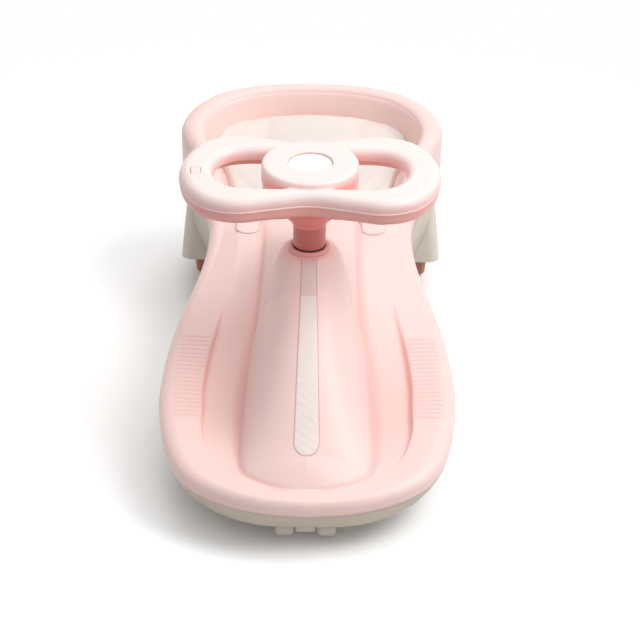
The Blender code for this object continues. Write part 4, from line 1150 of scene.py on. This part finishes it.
def pad_plan():
    """Plan of the pad as a grid, with the share t from its inner to its outer line.

    The inner line follows a tongue and turns round the ridge by a quarter ellipse. The outer line follows
    the tub and closes the back by a quarter superellipse. Both meet in a round tip at the tongue's end.
    """
    turn = np.linspace(0, math.pi / 2, 44)
    tip_y = pad_front_y + tip_length * (1 - np.cos(np.linspace(0.06, math.pi / 2, 9)))
    side_y = np.concatenate([tip_y, np.linspace(pad_front_y + tip_length, notch_start_y, 12)[1:-1]])
    count = len(side_y)
    round_ridge = np.column_stack([notch_half * np.cos(turn), notch_start_y + notch_depth * np.sin(turn)])
    inner = np.concatenate([np.column_stack([np.full(count, notch_half), side_y]), round_ridge])
    flank_y = np.concatenate([side_y, np.linspace(notch_start_y, pad_shoulder_y, 20)])
    flank_x = np.interp(flank_y, [pad_front_y, .110, .168, .236, pad_shoulder_y],
                        [.0955, .0960, .1015, .1120, pad_half_width])
    bend = np.linspace(0, math.pi / 2, 25)[1:]
    outer = np.column_stack([
        np.concatenate([flank_x, pad_half_width * np.cos(bend) ** .62]),
        np.concatenate([flank_y, pad_shoulder_y + (pad_rear_y - pad_shoulder_y) * np.sin(bend) ** .80])])
    short = np.clip(pad_front_y + tip_length - side_y, 0, None) / tip_length
    shrink = np.sqrt(np.clip(1 - short ** 2, 0, 1))
    middle = (inner[:count, 0] + outer[:count, 0]) / 2
    for line in (inner, outer):
        line[:count, 0] = middle + (line[:count, 0] - middle) * shrink
    rounding = edge_share * (1 - np.cos(np.linspace(.35, math.pi / 2, 6)[:-1]))
    t = np.concatenate([[0], rounding, np.linspace(edge_share, 1 - edge_share, 22), 1 - rounding[::-1], [1]])
    half_grid = inner[:, None] * (1 - t)[None, :, None] + outer[:, None] * t[None, :, None]
    return np.concatenate([half_grid, half_grid[-2::-1] * (-1, 1)]), t


def pad_grid():
    """Top and underside of the pad over its plan, and its tint.

    The thickness grows from the tongues to the seat and again to the back, most at the middle. Its edge is
    a quarter ellipse, and between the edges the top crowns by a sine.
    """
    plan, t = pad_plan()
    x, y = plan[..., 0], plan[..., 1]
    width = np.linalg.norm(plan[:, -1] - plan[:, 0], axis=1)[:, None]
    edge = np.minimum(np.minimum(t, 1 - t)[None] * width, np.clip(y - pad_front_y, 0, None))
    back = 0.0190 * smooth((y - .235) / .100) * (1 - .35 * smooth(np.abs(x) / .115))
    thick = 0.0012 + 0.0094 * smooth((y - .105) / .060) + back
    part = np.clip(edge / np.minimum(0.0060, 0.9 * thick), 0, 1)
    crowned = 0.0030 * smooth((y - .110) / .060) * np.sin(math.pi * t)[None] ** 0.8
    base = np.minimum(heights(x, y, upper_body), seat_level)
    top = base + 0.0004 + (thick + crowned) * np.sqrt(1 - (1 - part) ** 2)
    return np.stack([x, y, top], 2), np.stack([x, y, base + gap], 2), smooth((.150 - y) / .050)


def swollen(piece, held, pressure, cap):
    """The piece blown up a little as cloth; held points stay, and no point moves further than the cap."""
    start = points_of(piece)
    group = piece.vertex_groups.new(name="held")
    group.add(np.flatnonzero(held).tolist(), 1.0, "REPLACE")
    cloth = piece.modifiers.new("swell", "CLOTH").settings
    cloth.quality = 5
    cloth.mass = 0.3
    cloth.vertex_group_mass = "held"
    cloth.effector_weights.gravity = 0.0
    cloth.use_pressure = True
    cloth.uniform_pressure_force = pressure
    for frame_number in range(1, 21):
        bpy.context.scene.frame_set(frame_number)
    settled(piece)
    bpy.context.scene.frame_set(1)
    step = points_of(piece) - start
    length = np.linalg.norm(step, axis=1)[:, None]
    end = start + step * np.minimum(1, cap / np.maximum(length, 1e-9))
    piece.data.vertices.foreach_set("co", end.ravel())
    piece.data.update()
    return piece


def seat_pad():
    """The pad as one closed cushion, swelled but for its edge and tongues, and the line of its lower edge."""
    upper, under, tint = pad_grid()
    rows, columns = upper.shape[:2]
    faces = grid_faces(rows, columns)
    count = rows * columns
    edge = np.concatenate([np.arange(columns), np.arange(1, rows) * columns + columns - 1,
                           (rows - 1) * columns + np.arange(columns - 2, -1, -1),
                           np.arange(rows - 2, 0, -1) * columns])
    after = np.roll(edge, -1)
    wall_faces = np.column_stack([edge, after, after + count, edge + count])
    pad = piece_from("pad_cushion", np.concatenate([upper.reshape(-1, 3), under.reshape(-1, 3)]),
                     np.concatenate([faces, faces[:, ::-1] + count, wall_faces[:, ::-1]]), pad_cream,
                     tint=np.concatenate([tint.ravel(), tint.ravel()]))
    x, y, z = points_of(pad).T
    swollen(pad, (z - heights(x, y, upper_body) < .0040) | (y < .135), 4.0, 0.0030)
    fine = pad.modifiers.new("fine", "SUBSURF")
    fine.levels = fine.render_levels = 1
    settled(pad)
    brink_line = under.reshape(-1, 3)[edge]
    apart = np.linalg.norm(np.diff(brink_line, axis=0), axis=1) > 0.0004
    return pad, brink_line[np.r_[True, apart]]


pad, pad_line = seat_pad()
pad_outline = bead("pad_outline", pad_line[:, :2], pad_line[:, 2] - .0001, 0.0009, line_beige)
finish_piece(pad_outline, "car_body", "pink_plastic")
finish_piece(pad, "car_body", "cream_pad", "seat_pad")


# Floor, backdrop and lights
floor_tone = 0.50
floor_seen_tone = 1.28
floor_radius = 14
fade_start = 0.42
fade_end = 1.10
sky_level = 0.52
sky_seen_lift = 0.48


def seen_level(tree, strength):
    """Strength where the camera, a reflection or a clear body looks at the surface, else nothing."""
    path = add(tree, "ShaderNodeLightPath").outputs
    seen = maths(tree, "MAXIMUM", path["Is Camera Ray"], path["Is Glossy Ray"])
    return maths(tree, "MULTIPLY", maths(tree, "MAXIMUM", seen, path["Is Transmission Ray"]), strength)


def floor_look():
    """Pale floor with the car's soft shadow, which fades into plain white around it."""
    look = bpy.data.materials.new("pale_floor")
    look.use_nodes = True
    tree = look.node_tree
    tree.nodes.remove(tree.nodes["Principled BSDF"])
    seen = seen_level(tree, 1.0)
    tone = colour_mix(tree, seen, (floor_tone, floor_tone, floor_tone, 1),
                      (floor_seen_tone, floor_seen_tone, floor_seen_tone, 1))
    shader = add(tree, "ShaderNodeBsdfDiffuse", {"Color": tone})
    where = add(tree, "ShaderNodeTexCoord").outputs["Object"]
    away = add(tree, "ShaderNodeVectorMath", {0: where}, operation="LENGTH").outputs["Value"]
    fade = add(tree, "ShaderNodeMapRange", {"Value": away, "From Min": fade_start, "From Max": fade_end},
               interpolation_type="SMOOTHSTEP")
    plain = add(tree, "ShaderNodeEmission")
    blend = add(tree, "ShaderNodeMixShader", {0: maths(tree, "MULTIPLY", fade.outputs["Result"], seen),
                                              1: shader.outputs[0], 2: plain.outputs[0]})
    tree.links.new(blend.outputs[0], tree.nodes["Material Output"].inputs["Surface"])
    return look


def floor():
    """Round floor under the wheels."""
    c, s = circle(96)
    points = np.column_stack([floor_radius * c, floor_radius * s, np.full(96, -0.0002)])
    mesh = mesh_from("studio_floor", points, [list(range(96))])
    mesh.materials.append(floor_look())
    put("studio_floor", mesh)


def studio_sky():
    """Even white light from all round, a little brighter where it is seen."""
    world = bpy.data.worlds.new("studio")
    bpy.context.scene.world = world
    world.use_nodes = True
    tree = world.node_tree
    sky = tree.nodes["Background"]
    sky.inputs["Color"].default_value = (1, 1, 1, 1)
    level = maths(tree, "ADD", seen_level(tree, sky_seen_lift), sky_level)
    tree.links.new(level, sky.inputs["Strength"])


def lamp(name, place, power, target=(0, 0, 0.15), size=2.0):
    """Square soft lamp aimed at the car."""
    data = bpy.data.lights.new(name, "AREA")
    data.shape = "RECTANGLE"
    data.size = size
    data.size_y = size
    data.energy = power
    thing = put(name, data)
    thing.location = place
    thing.rotation_euler = (Vector(target) - Vector(place)).to_track_quat("-Z", "Y").to_euler()


floor()
studio_sky()
lamp("key", (2.0, -0.5, 2.6), 54)
lamp("front", (0.8, -2.2, 2.4), 8)
lamp("top", (0.0, 0.9, 2.9), 19)

bpy.context.scene.view_settings.view_transform = "Standard"
